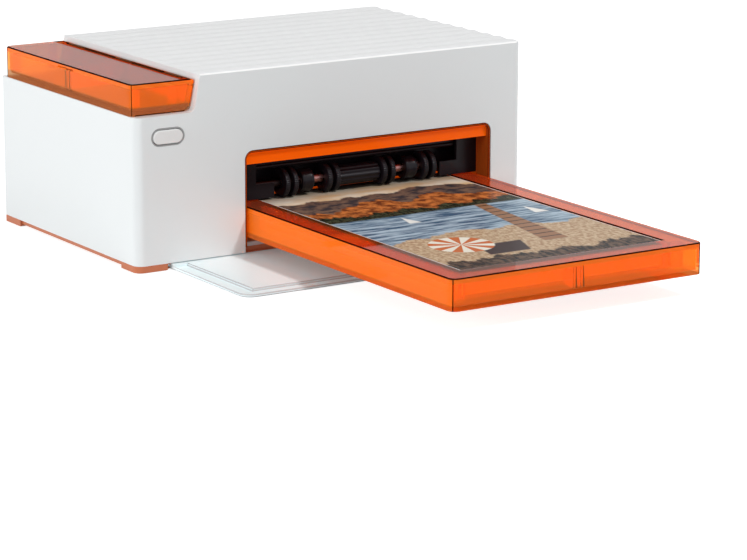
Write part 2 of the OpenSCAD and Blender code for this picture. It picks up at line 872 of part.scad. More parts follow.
module motor_shaft() {
    place() color(steel) bar_x(mount_x + plate_t + 0.1, gear_x + gear_t + 0.3, motor_y, motor_z, 1);
}

// Motor can and its boss; its shaft carries the pinion
module drive_motor() {
    place() color(steel) {
        bar_x(wall + motor_side, mount_x, motor_y, motor_z, motor_r);
        bar_x(mount_x - eps, mount_x + plate_t, motor_y, motor_z, 3);
    }
}

// Upright sheet that carries the motor, standing on the base
module motor_mount() {
    place() color(steel) difference() {
        union() {
            block([mount_x, motor_y - motor_r, base_top],
                [mount_x + plate_t, motor_y + motor_r + 2, motor_z + motor_r]);
            block([mount_x - 8, motor_y + 2, base_top],
                [mount_x + eps, motor_y + motor_r + 2, base_top + plate_t]);
        }
        bar_x(mount_x - 1, mount_x + plate_t + 1, motor_y, motor_z, 3);
    }
}

module print_head() {
    place() color([0.55, 0.4, 0.3]) block([bay_x - engine_w / 2, platen_y - head_d / 2, head_z],
        [bay_x + engine_w / 2, platen_y + head_d / 2, head_z + head_t]);
}

// Finned bar over the head, hung from the top chassis
module head_heatsink() {
    z0 = head_z + head_t;
    half = engine_w / 2;
    place() color(steel) difference() {
        union() {
            block([bay_x - half, platen_y - sink_w / 2, z0],
                [bay_x + half, platen_y + sink_w / 2, z0 + sink_h]);
            block([bay_x - half + 8, platen_y - 3, z0 + sink_h - eps],
                [bay_x + half - 8, platen_y + 3, frame_top]);
        }
        for (y = [-8 : 4 : 8]) {
            if (abs(y) > 3) {
                block([bay_x - half - 1, platen_y + y - 1, z0 + 2],
                    [bay_x + half + 1, platen_y + y + 1, z0 + sink_h + 1]);
            }
        }
    }
}

// Ends and limits of the ribbon cartridge, which is the same in front of and behind the head
function cart_y() = platen_y - spool_reach - ribbon_r - 2.6;
function cart_top() = spool_z + ribbon_r + 2.4;

// Cartridge: an end sheet at each side and two troughs between them
module ribbon_cartridge() {
    t = 1.6;
    y0 = cart_y();
    y1 = 2 * platen_y - y0;
    x0 = left_x + 1.5;
    x1 = right_x - 0.3;
    place() color([0.2, 0.22, 0.26]) difference() {
        union() {
            for (x = [x0, x1 - t]) block([x, y0, film_z - 0.6], [x + t, y1, cart_top()]);
            for (y = [y0, y1 - t]) block([x0, y, film_z + 1], [x1, y + t, cart_top()]);
            for (y = [y0, y1 - 8]) block([x0, y, cart_top() - t], [x1, y + 8, cart_top()]);
        }
        // Room for the head, the heatsink and the hanger
        block([0, platen_y - sink_w / 2 - 1, 0], [body_w, platen_y + sink_w / 2 + 1, film_z + film_t]);
        block([0, platen_y - sink_w / 2 - 1, 0], [body_w, platen_y + sink_w / 2 + 1, cart_top() - 3]);
        for (s = [-1, 1]) {
            bar_x(0, body_w, platen_y + s * spool_reach, spool_z, spool_shaft_r + run_gap);
        }
    }
}

// A spool with its wound ribbon; the shaft turns in the cartridge's end sheets
module spool(y, r) {
    x0 = left_x + 1.5;
    x1 = right_x - 0.3;
    bar_x(x0 - 0.4, x1 + 0.2, y, spool_z, spool_shaft_r);
    bar_x(bay_x - engine_w / 2 + 2, bay_x + engine_w / 2 - 2, y, spool_z, r);
    for (x = [x0 + 2.4, x1 - 4.4]) bar_x(x, x + 2, y, spool_z, ribbon_r - 0.2);
}

module supply_spool() {
    place() color([0.15, 0.12, 0.3]) spool(platen_y + spool_reach, ribbon_r);
}

module takeup_spool() {
    place() color([0.5, 0.15, 0.2]) spool(platen_y - spool_reach, ribbon_r - 2.5);
}

// Ribbon stretched under the head, from trough to trough
module ribbon_film() {
    half = engine_w / 2 - 3;
    place() color([0.7, 0.2, 0.35, 0.8]) block([bay_x - half, platen_y - spool_reach, film_z],
        [bay_x + half, platen_y + spool_reach, film_z + film_t]);
}

function fan_z() = base_top + 20;

module fan_frame() {
    x = fan_x();
    place() color(dark) difference() {
        block([x, rear_y - 8, fan_z()], [x + fan_w, rear_y, fan_z() + fan_w]);
        bar_y(rear_y - 9, rear_y - 1.8, x + fan_w / 2, fan_z() + fan_w / 2, fan_w / 2 - 1.2);
        for (a = [45 : 90 : 315]) {
            translate([x + fan_w / 2, rear_y, fan_z() + fan_w / 2]) rotate([90, a, 0])
                translate([fan_w / 5, -fan_w / 12, -1]) cube([fan_w / 4, fan_w / 6, 4]);
        }
    }
}

// Fan rotor with seven blades on its hub
module fan_rotor() {
    x = fan_x() + fan_w / 2;
    z = fan_z() + fan_w / 2;
    r = fan_w / 2 - 1.8;
    place() color([0.2, 0.2, 0.22]) {
        bar_y(rear_y - 7.4, rear_y - 2.1, x, z, fan_w / 6);
        for (k = [0 : 6]) {
            translate([x, rear_y - 4.6, z]) rotate([0, k * 360 / 7, 0]) rotate([30, 0, 0])
                translate([fan_w / 6 - 0.6, -0.4, -2]) cube([r - fan_w / 6, 0.8, 4]);
        }
    }
}

module main_board() {
    place() color([0.1, 0.35, 0.22]) difference() {
        block([board_x, board_y, board_z], [board_x + board_w, board_end, board_z + board_t]);
        for (x = [board_x + 3, board_x + board_w - 3], y = [board_y + 3, board_end - 18]) {
            translate([x, y, board_z - 1]) cylinder(h = 4, r = 1.2);
        }
    }
}

module board_chips() {
    z = board_z + board_t;
    place() color(dark) {
        block([board_x + 8, board_y + 8, z], [board_x + 22, board_y + 22, z + 1.6]);
        block([board_x + 3, board_y + 26, z], [board_x + 11, board_y + 34, z + 1.2]);
        for (k = [0 : 2]) {
            translate([board_x + 15 + 4 * k, board_y + 31, z]) cylinder(h = 5, r = 1.8);
        }
    }
}

module board_standoffs() {
    place() color([0.75, 0.65, 0.35]) {
        for (x = [board_x + 3, board_x + board_w - 3], y = [board_y + 3, board_end - 18]) {
            translate([x, y, base_top]) cylinder(h = board_z - base_top, r = 2.2);
            translate([x, y, board_z - eps]) cylinder(h = board_t + eps, r = 1.15);
            translate([x, y, board_z + board_t]) cylinder(h = 1.2, r = 2);
        }
    }
}

// Power inlet with its pin
module power_jack() {
    z = board_z + board_t;
    y = rear_y + 2.2;
    place() color(dark) {
        difference() {
            block([jack_x, y - 13, z], [jack_x + jack_w, y, z + 11]);
            bar_y(y - 9, y + 1, jack_x + jack_w / 2, z + 5.5, 3.2);
        }
        bar_y(y - 10, y - 1, jack_x + jack_w / 2, z + 5.5, 0.9);
    }
}

module usb_port() {
    z = board_z + board_t;
    y = rear_y + 2.2;
    place() color(steel) {
        difference() {
            block([usb_x, y - 13, z], [usb_x + usb_w, y, z + 7]);
            block([usb_x + 0.6, y - 9, z + 0.6], [usb_x + usb_w - 0.6, y + 1, z + 6.4]);
        }
        block([usb_x + 2, y - 9 - eps, z + 3.8], [usb_x + usb_w - 2, y - 1, z + 5.4]);
    }
}

// Screws up through the base
module case_screws() {
    place() color(steel) {
        for (x = [screw_side, body_w - screw_side], y = screw_y) {
            translate([x, y, band_z + 0.2]) cylinder(h = 1.2, r = 2.8);
            translate([x, y, band_z + 0.2]) cylinder(h = base_top - band_z - 0.6, r = screw_r);
        }
    }
}

// Cassette outline from above, drawn in by an inset
module cassette_plan(inset) {
    r = max(cas_r - inset, 0.8);
    round_rect(cas_x + inset, cas_y + inset, cas_x + cas_w - inset, cas_end - inset, r);
}

// Amber tray with side guides for the paper, corner posts and a rib across its front
module cassette_tray() {
    z0 = cas_z;
    z1 = cas_top - lid_t;
    guide = paper_w / 2 + 1.5;
    guide_end = print_y + paper_l + 2;
    place() color(amber) {
        difference() {
            translate([0, 0, z0]) linear_extrude(z1 - z0) cassette_plan(0);
            translate([0, 0, z0 + amber_t]) linear_extrude(cas_h) cassette_plan(amber_t);
        }
        for (s = [-1, 1]) {
            a = bay_x + s * guide;
            b = bay_x + s * (guide + 1.6);
            block([min(a, b), print_y - 2, z0 + amber_t - eps], [max(a, b), guide_end, z1 - 0.3]);
        }
        block([bay_x - guide - 1.6, print_y - 3.4, z0 + amber_t - eps],
            [bay_x + guide + 1.6, print_y - 1.8, z1 - 0.3]);
        for (x = [cas_x + 8, cas_x + cas_w - 8], y = [cas_y + 8, cas_end - 8]) {
            translate([x, y, z0 + amber_t - eps]) cylinder(h = z1 - z0 - amber_t, r = 2.6);
        }
        for (x = [bay_x - 2.4, bay_x + 1.2]) {
            block([x, cas_y + amber_t - eps, z0 + amber_t - eps], [x + 1.2, print_y - 3.4 + eps, z1 - 0.3]);
        }
    }
}

// Amber lid with the shallow recess that the print lies in
module cassette_lid() {
    half = paper_w / 2 + print_gap;
    place() color(amber) difference() {
        translate([0, 0, cas_top - lid_t]) linear_extrude(lid_t) cassette_plan(0);
        block([bay_x - half, print_y - print_gap, print_z], [bay_x + half, cas_end + 1, cas_top + 1]);
        // Slot at the back where the blank paper is picked up
        block([bay_x - paper_w / 2 - 1, cas_end - 22, 0],
            [bay_x + paper_w / 2 + 1, cas_end - 8, cas_top + 1]);
    }
}

// Blank paper waiting in the tray
module paper_stack() {
    z = cas_z + amber_t + 1;
    place() color([0.96, 0.95, 0.92]) block([bay_x - paper_w / 2, print_y, z],
        [bay_x + paper_w / 2, print_y + paper_l, z + min(stack_t, cas_h - lid_t - amber_t - 1.2)]);
}

// Sprung sheet under the paper
module lift_plate() {
    z = cas_z + amber_t;
    half = paper_w * 0.4;
    end = print_y + paper_l - 4;
    place() color(steel) block([bay_x - half, end - 66, z], [bay_x + half, end, z + 1]);
}

// Finished print on the cassette lid
module photo_print() {
    place() color([0.72, 0.68, 0.6]) block([bay_x - paper_w / 2, print_y, print_z],
        [bay_x + paper_w / 2, print_y + paper_l + tail_l, print_top]);
}

// White plate that slides out under the cassette, with two tabs that run in the base's grooves
module rest_plate() {
    rim_side = 6.5;
    rim_front = 5;
    x0 = rest_x;
    x1 = rest_x + rest_w;
    place() color([0.93, 0.93, 0.92]) {
        difference() {
            translate([0, 0, table_gap]) linear_extrude(rest_t) {
                round_rect(x0, -rest_out, x1, -1, rest_r);
                translate([x0, -rest_out + rest_r]) square([rest_w, rest_out - rest_r + rest_tail]);
            }
            // The rim lies a little lower than the middle
            difference() {
                block([x0 - 1, -rest_out - 1, rest_top - rest_step], [x1 + 1, -2, rest_top + 1]);
                block([x0 + rim_side, -rest_out + rim_front, 0], [x1 - rim_side, 0, rest_top + 2]);
            }
        }
        for (x = [x0 - tab_w, x1 - eps]) {
            block([x, 2, tab_z], [x + tab_w + eps, rest_tail, tab_z + tab_t]);
        }
    }
}

// Door over the ribbon cartridge, turning on a pin through its round lower edge
module ribbon_door() {
    place() color(white) difference() {
        union() {
            bar_y(door_y, door_y + door_l, door_axis_x, door_axis_z, door_t / 2);
            block([body_w - door_t, door_y, door_axis_z], [body_w, door_y + door_l, door_z + door_h]);
        }
        bar_y(0, body_d, door_axis_x, door_axis_z, door_pin_r + run_gap);
        // Finger scoop in the outer face near the upper edge
        translate([body_w - 1, door_y + door_l / 2, door_z + door_h - 7])
            rotate([0, 90, 0]) cylinder(h = 3, r = 6);
    }
}

module door_hinge_pin() {
    place() color(steel) bar_y(door_y - 3.5, door_y + door_l + 3.5, door_axis_x, door_axis_z, door_pin_r);
}

main_case();
top_panel();
rear_panel();
base_plate();
corner_feet();
rubber_pads();
front_lining();
bay_floor();
button_ring();
power_button();
tact_switch();
switch_bracket();
storage_tray();
storage_lid();
storage_hinge_pin();
left_frame();
right_frame();
top_chassis();
upper_guide();
paper_chute();
feed_shaft();
eject_discs();
central_roller();
grip_wheels();
feed_gear();
platen_shaft();
platen_roller();
platen_gear();
idler_gear();
idler_stud();
motor_pinion();
motor_shaft();
drive_motor();
motor_mount();
print_head();
head_heatsink();
ribbon_cartridge();
supply_spool();
takeup_spool();
ribbon_film();
fan_frame();
fan_rotor();
main_board();
board_chips();
board_standoffs();
power_jack();
usb_port();
case_screws();
cassette_tray();
cassette_lid();
paper_stack();
lift_plate();
photo_print();
rest_plate();
ribbon_door();
door_hinge_pin();
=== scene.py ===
# %% [markdown]
# # A compact photo printer with an amber cassette
# The imported model is loaded first, because every piece below is measured from it.

# %% Load the frame
import json
import math

import bmesh
import bpy
import numpy as np
from mathutils import Matrix, Vector


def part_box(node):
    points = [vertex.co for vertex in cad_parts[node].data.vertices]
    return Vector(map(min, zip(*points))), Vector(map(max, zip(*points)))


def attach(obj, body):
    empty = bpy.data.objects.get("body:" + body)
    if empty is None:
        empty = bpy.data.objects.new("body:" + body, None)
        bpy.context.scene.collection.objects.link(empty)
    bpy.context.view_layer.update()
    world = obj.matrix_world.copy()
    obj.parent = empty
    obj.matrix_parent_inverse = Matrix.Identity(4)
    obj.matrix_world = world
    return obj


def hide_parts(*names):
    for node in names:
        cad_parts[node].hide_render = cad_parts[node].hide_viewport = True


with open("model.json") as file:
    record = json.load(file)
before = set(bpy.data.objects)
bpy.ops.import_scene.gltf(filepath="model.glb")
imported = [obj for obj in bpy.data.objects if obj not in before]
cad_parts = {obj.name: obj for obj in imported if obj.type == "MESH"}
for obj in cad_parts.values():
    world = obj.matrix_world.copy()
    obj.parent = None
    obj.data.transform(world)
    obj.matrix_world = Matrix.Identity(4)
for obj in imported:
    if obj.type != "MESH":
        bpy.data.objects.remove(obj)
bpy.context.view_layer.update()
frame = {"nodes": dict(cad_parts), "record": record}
body_of_node = {n: b for b, nodes in frame["record"]["behaviour"]["bodies"].items() for n in nodes}
MM = 0.001

# %% [markdown]
# The camera stands where the photographer's stood: a long lens from the front left, a little above.
# Its place was worked out from the printer's straight edges and the known size of photo paper. The
# roll is tiny, but without it the uprights lean by a third of a pixel.

# %% Camera
PHOTO_W = 747
FOCAL_PX = 3195.4
SENSOR_W = 36
NEAREST = 0.05
FARTHEST = 20
AZIMUTH = math.radians(-32.59)
ELEVATION = math.radians(13.53)
ROLL = math.radians(0.123)
STAND = Vector((-723.8, -1147.2, 315.0)) * MM


def add_camera():
    """A camera whose axes are right, up and back: back is the unit vector at the azimuth and
    elevation, right is level, up completes them, and the roll turns right and up about back."""
    back = Vector((math.sin(AZIMUTH) * math.cos(ELEVATION),
                   -math.cos(AZIMUTH) * math.cos(ELEVATION), math.sin(ELEVATION)))
    right = Vector((math.cos(AZIMUTH), math.sin(AZIMUTH), 0))
    up = back.cross(right)
    turned_right = math.cos(ROLL) * right + math.sin(ROLL) * up
    turned_up = math.cos(ROLL) * up - math.sin(ROLL) * right
    data = bpy.data.cameras.new("camera")
    data.sensor_fit = "HORIZONTAL"
    data.sensor_width = SENSOR_W
    data.lens = FOCAL_PX * SENSOR_W / PHOTO_W
    data.clip_start = NEAREST
    data.clip_end = FARTHEST
    camera = bpy.data.objects.new("camera", data)
    bpy.context.scene.collection.objects.link(camera)
    camera.matrix_world = Matrix((turned_right, turned_up, back)).transposed().to_4x4()
    camera.location = STAND
    bpy.context.scene.camera = camera
    return camera


camera = add_camera()
print("lens in mm:", round(camera.data.lens, 2))

# %% [markdown]
# A white product is lit by a white room with three lamps. The world fills the shadows. A large soft
# lamp on the left makes the left side the brightest face. It lights but isn't mirrored, because its
# mirror image would whiten the glossy print in a view from the right. A small key lamp, high in
# front on the right, rakes over the ribs of the top and throws the cassette's crisp shadow to the
# left on the white plate below it. A narrow strip behind draws a bright line on every rounded edge.

# %% Studio
WORLD_LIGHT = 0.34
FLOOR_WHITE = 0.7
FLOOR_GLOW = 0.82
FLOOR_HALF = 6


def principled(material):
    """The material's own shader node."""
    return material.node_tree.nodes["Principled BSDF"]


def new_material(name):
    """An empty node material with a Principled shader."""
    material = bpy.data.materials.new(name)
    material.use_nodes = True
    return material


def strength_when_seen(tree, seen, unseen):
    """One strength for rays that carry a picture, straight, mirrored or through clear plastic,
    and another for rays that only carry light."""
    path = tree.nodes.new("ShaderNodeLightPath")
    flag = path.outputs["Is Camera Ray"]
    for name in ("Is Glossy Ray", "Is Transmission Ray"):
        either = tree.nodes.new("ShaderNodeMath")
        either.operation = "MAXIMUM"
        tree.links.new(flag, either.inputs[0])
        tree.links.new(path.outputs[name], either.inputs[1])
        flag = either.outputs[0]
    strength = tree.nodes.new("ShaderNodeMapRange")
    strength.inputs["To Min"].default_value = unseen
    strength.inputs["To Max"].default_value = seen
    tree.links.new(flag, strength.inputs["Value"])
    return strength.outputs["Result"]


def add_world():
    """An even pale room, pure white where it is seen past the floor."""
    world = bpy.data.worlds.new("room")
    world.use_nodes = True
    tree = world.node_tree
    background = tree.nodes["Background"]
    background.inputs["Color"].default_value = (1, 1, 1, 1)
    tree.links.new(strength_when_seen(tree, 1, WORLD_LIGHT), background.inputs["Strength"])
    bpy.context.scene.world = world


def add_lamp(name, place, aim, width, height, power):
    """A rectangular soft lamp at a place, turned so that it shines at the aim."""
    data = bpy.data.lights.new(name, "AREA")
    data.shape = "RECTANGLE"
    data.size = width
    data.size_y = height
    data.energy = power
    lamp = bpy.data.objects.new(name, data)
    bpy.context.scene.collection.objects.link(lamp)
    lamp.location = place
    lamp.rotation_mode = "QUATERNION"
    lamp.rotation_quaternion = (Vector(aim) - Vector(place)).to_track_quat("-Z", "Y")
    return lamp


def add_floor():
    """A square pale floor that keeps the shadow: plain diffuse white, with a light of its own that
    is only seen and lights nothing, so that it is white away from the printer."""
    material = new_material("pale_floor")
    shader = principled(material)
    shader.inputs["Base Color"].default_value = (FLOOR_WHITE, FLOOR_WHITE, FLOOR_WHITE, 1)
    shader.inputs["Roughness"].default_value = 0.9
    shader.inputs["Specular IOR Level"].default_value = 0
    shader.inputs["Emission Color"].default_value = (1, 1, 1, 1)
    tree = material.node_tree
    tree.links.new(strength_when_seen(tree, FLOOR_GLOW, 0), shader.inputs["Emission Strength"])
    mesh = bpy.data.meshes.new("floor")
    corners = [(x * FLOOR_HALF, y * FLOOR_HALF, 0) for x, y in ((-1, -1), (1, -1), (1, 1), (-1, 1))]
    mesh.from_pydata(corners, [], [(0, 1, 2, 3)])
    mesh.materials.append(material)
    floor = bpy.data.objects.new("floor", mesh)
    bpy.context.scene.collection.objects.link(floor)


# The place and aim of each lamp, its width and height, and its power
LAMPS = {
    "left_softbox": ((-1.7, -0.1, 0.28), (0, 0.05, 0.04), 1, 1, 21),
    "key_lamp": ((0.66, -1.05, 1.6), (0, -0.05, 0.03), 0.22, 0.22, 19),
    "edge_strip": ((0.85, 0.98, 0.95), (0, 0, 0.08), 1.3, 0.06, 1),
}
add_world()
add_floor()
for name, values in LAMPS.items():
    lamp = add_lamp(name, *values)
    lamp.visible_glossy = name != "left_softbox"
bpy.context.scene.view_settings.view_transform = "Standard"
print("world light:", WORLD_LIGHT, "and lamps:", len(LAMPS))

# %% [markdown]
# Moulded plastic is never one flat colour: it has a fine spark-eroded grain, slow changes in gloss
# and a trace of colour drift. One function makes them all from noise on the object's coordinates,
# so that the grain has its real size whichever piece wears it.

# %% Material helpers
def add_node(tree, kind, **values):
    """A node of a kind, with its input sockets set by their names in lower case."""
    node = tree.nodes.new(kind)
    for key, value in values.items():
        node.inputs[key.title()].default_value = value
    return node


def object_coords(tree, scale=(1, 1, 1)):
    """Object coordinates in metres, stretched by a scale."""
    coords = tree.nodes.new("ShaderNodeTexCoord")
    mapping = tree.nodes.new("ShaderNodeMapping")
    mapping.inputs["Scale"].default_value = scale
    tree.links.new(coords.outputs["Object"], mapping.inputs["Vector"])
    return mapping.outputs["Vector"]


def axis_values(tree, vector):
    """The x, y and z of a vector, as three sockets."""
    split = tree.nodes.new("ShaderNodeSeparateXYZ")
    tree.links.new(vector, split.inputs[0])
    return split.outputs


def noise(tree, vector, scale, detail, roughness=0.5):
    """Fractal noise from 0 to 1 with so many cells per metre. Most of it lies from 0.3 to 0.7."""
    node = add_node(tree, "ShaderNodeTexNoise", scale=scale, detail=detail, roughness=roughness)
    tree.links.new(vector, node.inputs["Vector"])
    return node.outputs["Fac"]


def spread(tree, value, low, high, start=0.3, end=0.7):
    """Carries a value from start..end over to low..high, and holds it at those ends."""
    node = tree.nodes.new("ShaderNodeMapRange")
    for key, number in (("From Min", start), ("From Max", end), ("To Min", low), ("To Max", high)):
        node.inputs[key].default_value = number
    tree.links.new(value, node.inputs["Value"])
    return node.outputs["Result"]


def blend_colours(tree, value, first, second):
    """A colour between two, or between two sockets, by a value from 0 to 1. A Mix node keeps its
    colours in inputs 6 and 7 and in output 2."""
    node = tree.nodes.new("ShaderNodeMix")
    node.data_type = "RGBA"
    tree.links.new(value, node.inputs[0])
    for colour, socket in ((first, node.inputs[6]), (second, node.inputs[7])):
        if isinstance(colour, tuple):
            socket.default_value = (*colour, 1)
        else:
            tree.links.new(colour, socket)
    return node.outputs[2]


def maths(tree, operation, *values):
    """A math node on sockets or numbers."""
    node = tree.nodes.new("ShaderNodeMath")
    node.operation = operation
    for socket, value in zip(node.inputs, values):
        if isinstance(value, (int, float)):
            socket.default_value = value
        else:
            tree.links.new(value, socket)
    return node.outputs[0]


def bump(tree, shader, height, depth):
    """Roughens a shader's normal by a height map; depth is the height of 1 in metres."""
    node = add_node(tree, "ShaderNodeBump", strength=1, distance=depth)
    tree.links.new(height, node.inputs["Height"])
    tree.links.new(node.outputs["Normal"], shader.inputs["Normal"])


DRIFT_CELLS = 22
WEAR_CELLS = 130


def plastic(name, colour, gloss, grain=2600, depth=0.00001, drift=0.03, wear=0.1, coat=0.0,
            ior=1.45):
    """Moulded plastic. The colour varies by the share drift, the roughness by the share wear, and
    the grain is noise with so many cells per metre."""
    material = new_material(name)
    tree = material.node_tree
    shader = principled(material)
    where = object_coords(tree)
    slow = noise(tree, where, DRIFT_CELLS, 2)
    pale = tuple(min(1.0, c * (1 + drift)) for c in colour)
    deep = tuple(c * (1 - drift) for c in colour)
    tree.links.new(blend_colours(tree, slow, deep, pale), shader.inputs["Base Color"])
    patches = noise(tree, where, WEAR_CELLS, 1)
    worn = spread(tree, patches, gloss * (1 - wear), gloss * (1 + wear))
    tree.links.new(worn, shader.inputs["Roughness"])
    bump(tree, shader, noise(tree, where, grain, 2), depth)
    shader.inputs["IOR"].default_value = ior
    shader.inputs["Coat Weight"].default_value = coat
    shader.inputs["Coat Roughness"].default_value = 0.08
    return material


# %% [markdown]
# The amber mouldings are what this printer is known by: clear orange plastic, tinted right through.
# Where white paper lies behind, they glow; where walls are seen edge on, they go deep red-brown.
# A transmitting shader with a tinted base gives both, with painted light on top: a glow that the
# plastic gives off of its own, and brighter, redder copies of it on the walls. A part of it is left
# opaque for the haze that such thick tinted mouldings have.

# %% Amber plastic
TINT_CELLS = 16
FLOW_CELLS = 90
WAVE_CELLS = 60
WAVE_H = 0.01 * MM


def amber_plastic(name, colour, clear, gloss=0.035, glow=0.0, solid=None, ior=1.15):
    """Tinted clear plastic. Clear is the share of light that passes, and glow is the strength of a
    painted glow, light that the plastic gives off of its own though it is no lamp. Solid is an
    axis,
    two places on it and a tint: up to the first place the moulding has that tint and no gloss, and
    from the second place on it is clear."""
    material = new_material(name)
    tree = material.node_tree
    shader = principled(material)
    where = object_coords(tree)
    deep = tuple(c * 0.93 for c in colour)
    tint = blend_colours(tree, noise(tree, where, TINT_CELLS, 2), deep, colour)
    shader.inputs["IOR"].default_value = ior
    if solid:
        axis, thick, thin, dark = solid
        place = axis_values(tree, where)[axis]
        tint = blend_colours(tree, spread(tree, place, 0, 1, thick, thin), dark, tint)
        tree.links.new(spread(tree, place, 1, ior, thick, thin), shader.inputs["IOR"])
    tree.links.new(tint, shader.inputs["Base Color"])
    flow = spread(tree, noise(tree, where, FLOW_CELLS, 2), gloss * 0.8, gloss * 1.3)
    tree.links.new(flow, shader.inputs["Roughness"])
    shader.inputs["Transmission Weight"].default_value = clear
    # The glow is painted light: it brightens the amber as no lamp does.
    shader.inputs["Emission Color"].default_value = (*PAINTED_GLOW, 1)
    shader.inputs["Emission Strength"].default_value = glow
    bump(tree, shader, noise(tree, where, WAVE_CELLS, 1), WAVE_H)
    return material


# The floor of a box, seen through its walls, is thick, so it is dark. The lid is also darker along
# its hinge, and so are the box's knuckles there. A short ramp leads from the dark tint to the clear
# one.
AMBER = (1.0, 0.52, 0.11)
# The colour of the painted glow, which the amber gives off though it is no lamp
PAINTED_GLOW = (1.0, 0.15, 0.0)
BOX_FLOOR_TINT = (0.42, 0.29, 0.16)
CASSETTE_FLOOR_TINT = (0.62, 0.22, 0.06)
HINGE_TINT = (0.34, 0.12, 0.05)
BOX_FLOOR_T = 3.2 * MM
CASSETTE_FLOOR_T = 1.8 * MM
HINGE_W = 6 * MM
RAMP = 0.4 * MM
box_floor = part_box("storage_tray")[0][2] + BOX_FLOOR_T
cassette_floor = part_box("cassette_tray")[0][2] + CASSETTE_FLOOR_T
lid_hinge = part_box("storage_lid")[1][0] - HINGE_W
box_solid = (2, box_floor, box_floor + RAMP, BOX_FLOOR_TINT)
cassette_solid = (2, cassette_floor, cassette_floor + RAMP, CASSETTE_FLOOR_TINT)
hinge_darkening = (0, lid_hinge, lid_hinge - RAMP, HINGE_TINT)
# Every glow below is painted light, which makes the amber brighter than its lighting does.
amber_box = amber_plastic("amber_box", AMBER, 0.9, glow=0.08, solid=box_solid)
# The box's walls wear a brighter, redder copy with a stronger painted glow: painted light on faces
# seen edge on.
amber_wall_painted_glow = amber_plastic("amber_wall_painted_glow", (1.0, 0.38, 0.06), 0.78, glow=0.13, solid=box_solid)
amber_cassette = amber_plastic("amber_cassette", AMBER, 0.9, glow=0.1, solid=cassette_solid)
# The cassette's side walls and the lids' upright faces are such copies too, with painted glow.
amber_side_painted_glow = amber_plastic("amber_side_painted_glow", (1.0, 0.36, 0.04), 0.7, glow=0.17, solid=cassette_solid)
amber_slab_painted_glow = amber_plastic("amber_slab_painted_glow", (1.0, 0.2, 0.02), 0.3, glow=0.22)
amber_lid = amber_plastic("amber_lid", (0.42, 0.21, 0.13), 0.9, solid=hinge_darkening, ior=1.11)
amber_rim = amber_plastic("amber_rim", (0.62, 0.25, 0.08), 0.9)
amber_line = plastic("amber_line", (0.012, 0.002, 0.001), 0.6, ior=1.02)
amber_edge = plastic("amber_edge", (0.2, 0.025, 0.003), 0.4, ior=1.1)
amber_hinge = amber_plastic("amber_hinge", HINGE_TINT, 0.5, ior=1.02)
amber_base = amber_plastic("amber_base", (0.62, 0.45, 0.33), 0.45)
# The lining's band has the strongest painted glow.
amber_lining = amber_plastic("amber_lining", (1.0, 0.13, 0.002), 0.1, 0.12, 0.18)
# Its jambs, which look sideways, are a darker copy without the glow: painted shade.
amber_jamb_painted_shade = amber_plastic("amber_jamb_painted_shade", (0.42, 0.08, 0.01), 0.2, 0.12)
print("amber tint:", AMBER)

# %% [markdown]
# The other finishes follow the same pattern: white gloss for the case, satin for the ribbed top,
# black rubber for the rollers, brushed metals for the engine, and fibrous paper.

# %% Plain finishes
def add_painted_glow(material, colour, strength):
    """A painted glow: the material gives off a little light of its own, though it is no lamp."""
    shader = principled(material)
    shader.inputs["Emission Color"].default_value = (*colour, 1)
    shader.inputs["Emission Strength"].default_value = strength


WHITE = (0.838, 0.845, 0.85)
CASE_WHITE = (0.828, 0.864, 0.872)
SMOOTH = {"depth": 0.000001, "drift": 0.006, "wear": 0.02}
SATIN = {"depth": 0.000002, "drift": 0.006, "wear": 0.02}
white_gloss = plastic("white_gloss", CASE_WHITE, 0.3, coat=0.1, **SMOOTH)
white_satin = plastic("white_satin", WHITE, 0.42, **SATIN)
button_white = plastic("button_white", (0.84, 0.845, 0.84), 0.3, **SMOOTH)
# A painted highlight: a brighter, glossier white for the bevel along the front of the top.
painted_highlight_white = plastic("painted_highlight_white", (0.98, 0.98, 0.98), 0.5, depth=0.000001, drift=0.003, ior=1.8)
# The plate's white is a little cool and has a faint cool painted glow, to offset the orange light
# that the cassette throws on it and to brighten it.
plate_white = plastic("plate_white", (0.86, 0.94, 0.95), 0.35, depth=0.000001, drift=0.005,
                      wear=0.02)
add_painted_glow(plate_white, (0.35, 0.85, 1.0), 0.07)
plate_painted_shade = plastic("plate_painted_shade", (0.6, 0.61, 0.62), 0.5)
ring_grey = plastic("ring_grey", (0.36, 0.365, 0.37), 0.4)
pale_plastic = plastic("bay_floor_grey", (0.62, 0.62, 0.63), 0.45)
terracotta = plastic("terracotta", (0.56, 0.17, 0.075), 0.42)
dark_plastic = plastic("dark_plastic", (0.013, 0.009, 0.012), 0.3, ior=1.25)
cartridge_grey = plastic("cartridge_grey", (0.05, 0.055, 0.07), 0.4)
gear_ivory = plastic("gear_ivory", (0.78, 0.75, 0.66), 0.45)
chip_black = plastic("chip_black", (0.02, 0.02, 0.022), 0.5)
board_green = plastic("board_green", (0.02, 0.13, 0.06), 0.35, grain=900)
ceramic = plastic("head_ceramic", (0.32, 0.2, 0.13), 0.5)
ribbon_ink = plastic("ribbon_ink", (0.05, 0.03, 0.12), 0.22)
ribbon_spent = plastic("ribbon_spent", (0.3, 0.04, 0.06), 0.22)


def rubber(name, colour, gloss):
    """Rubber with a ground, slightly mottled surface."""
    return plastic(name, colour, gloss, grain=5200, depth=0.00002, drift=0.12, ior=1.28)


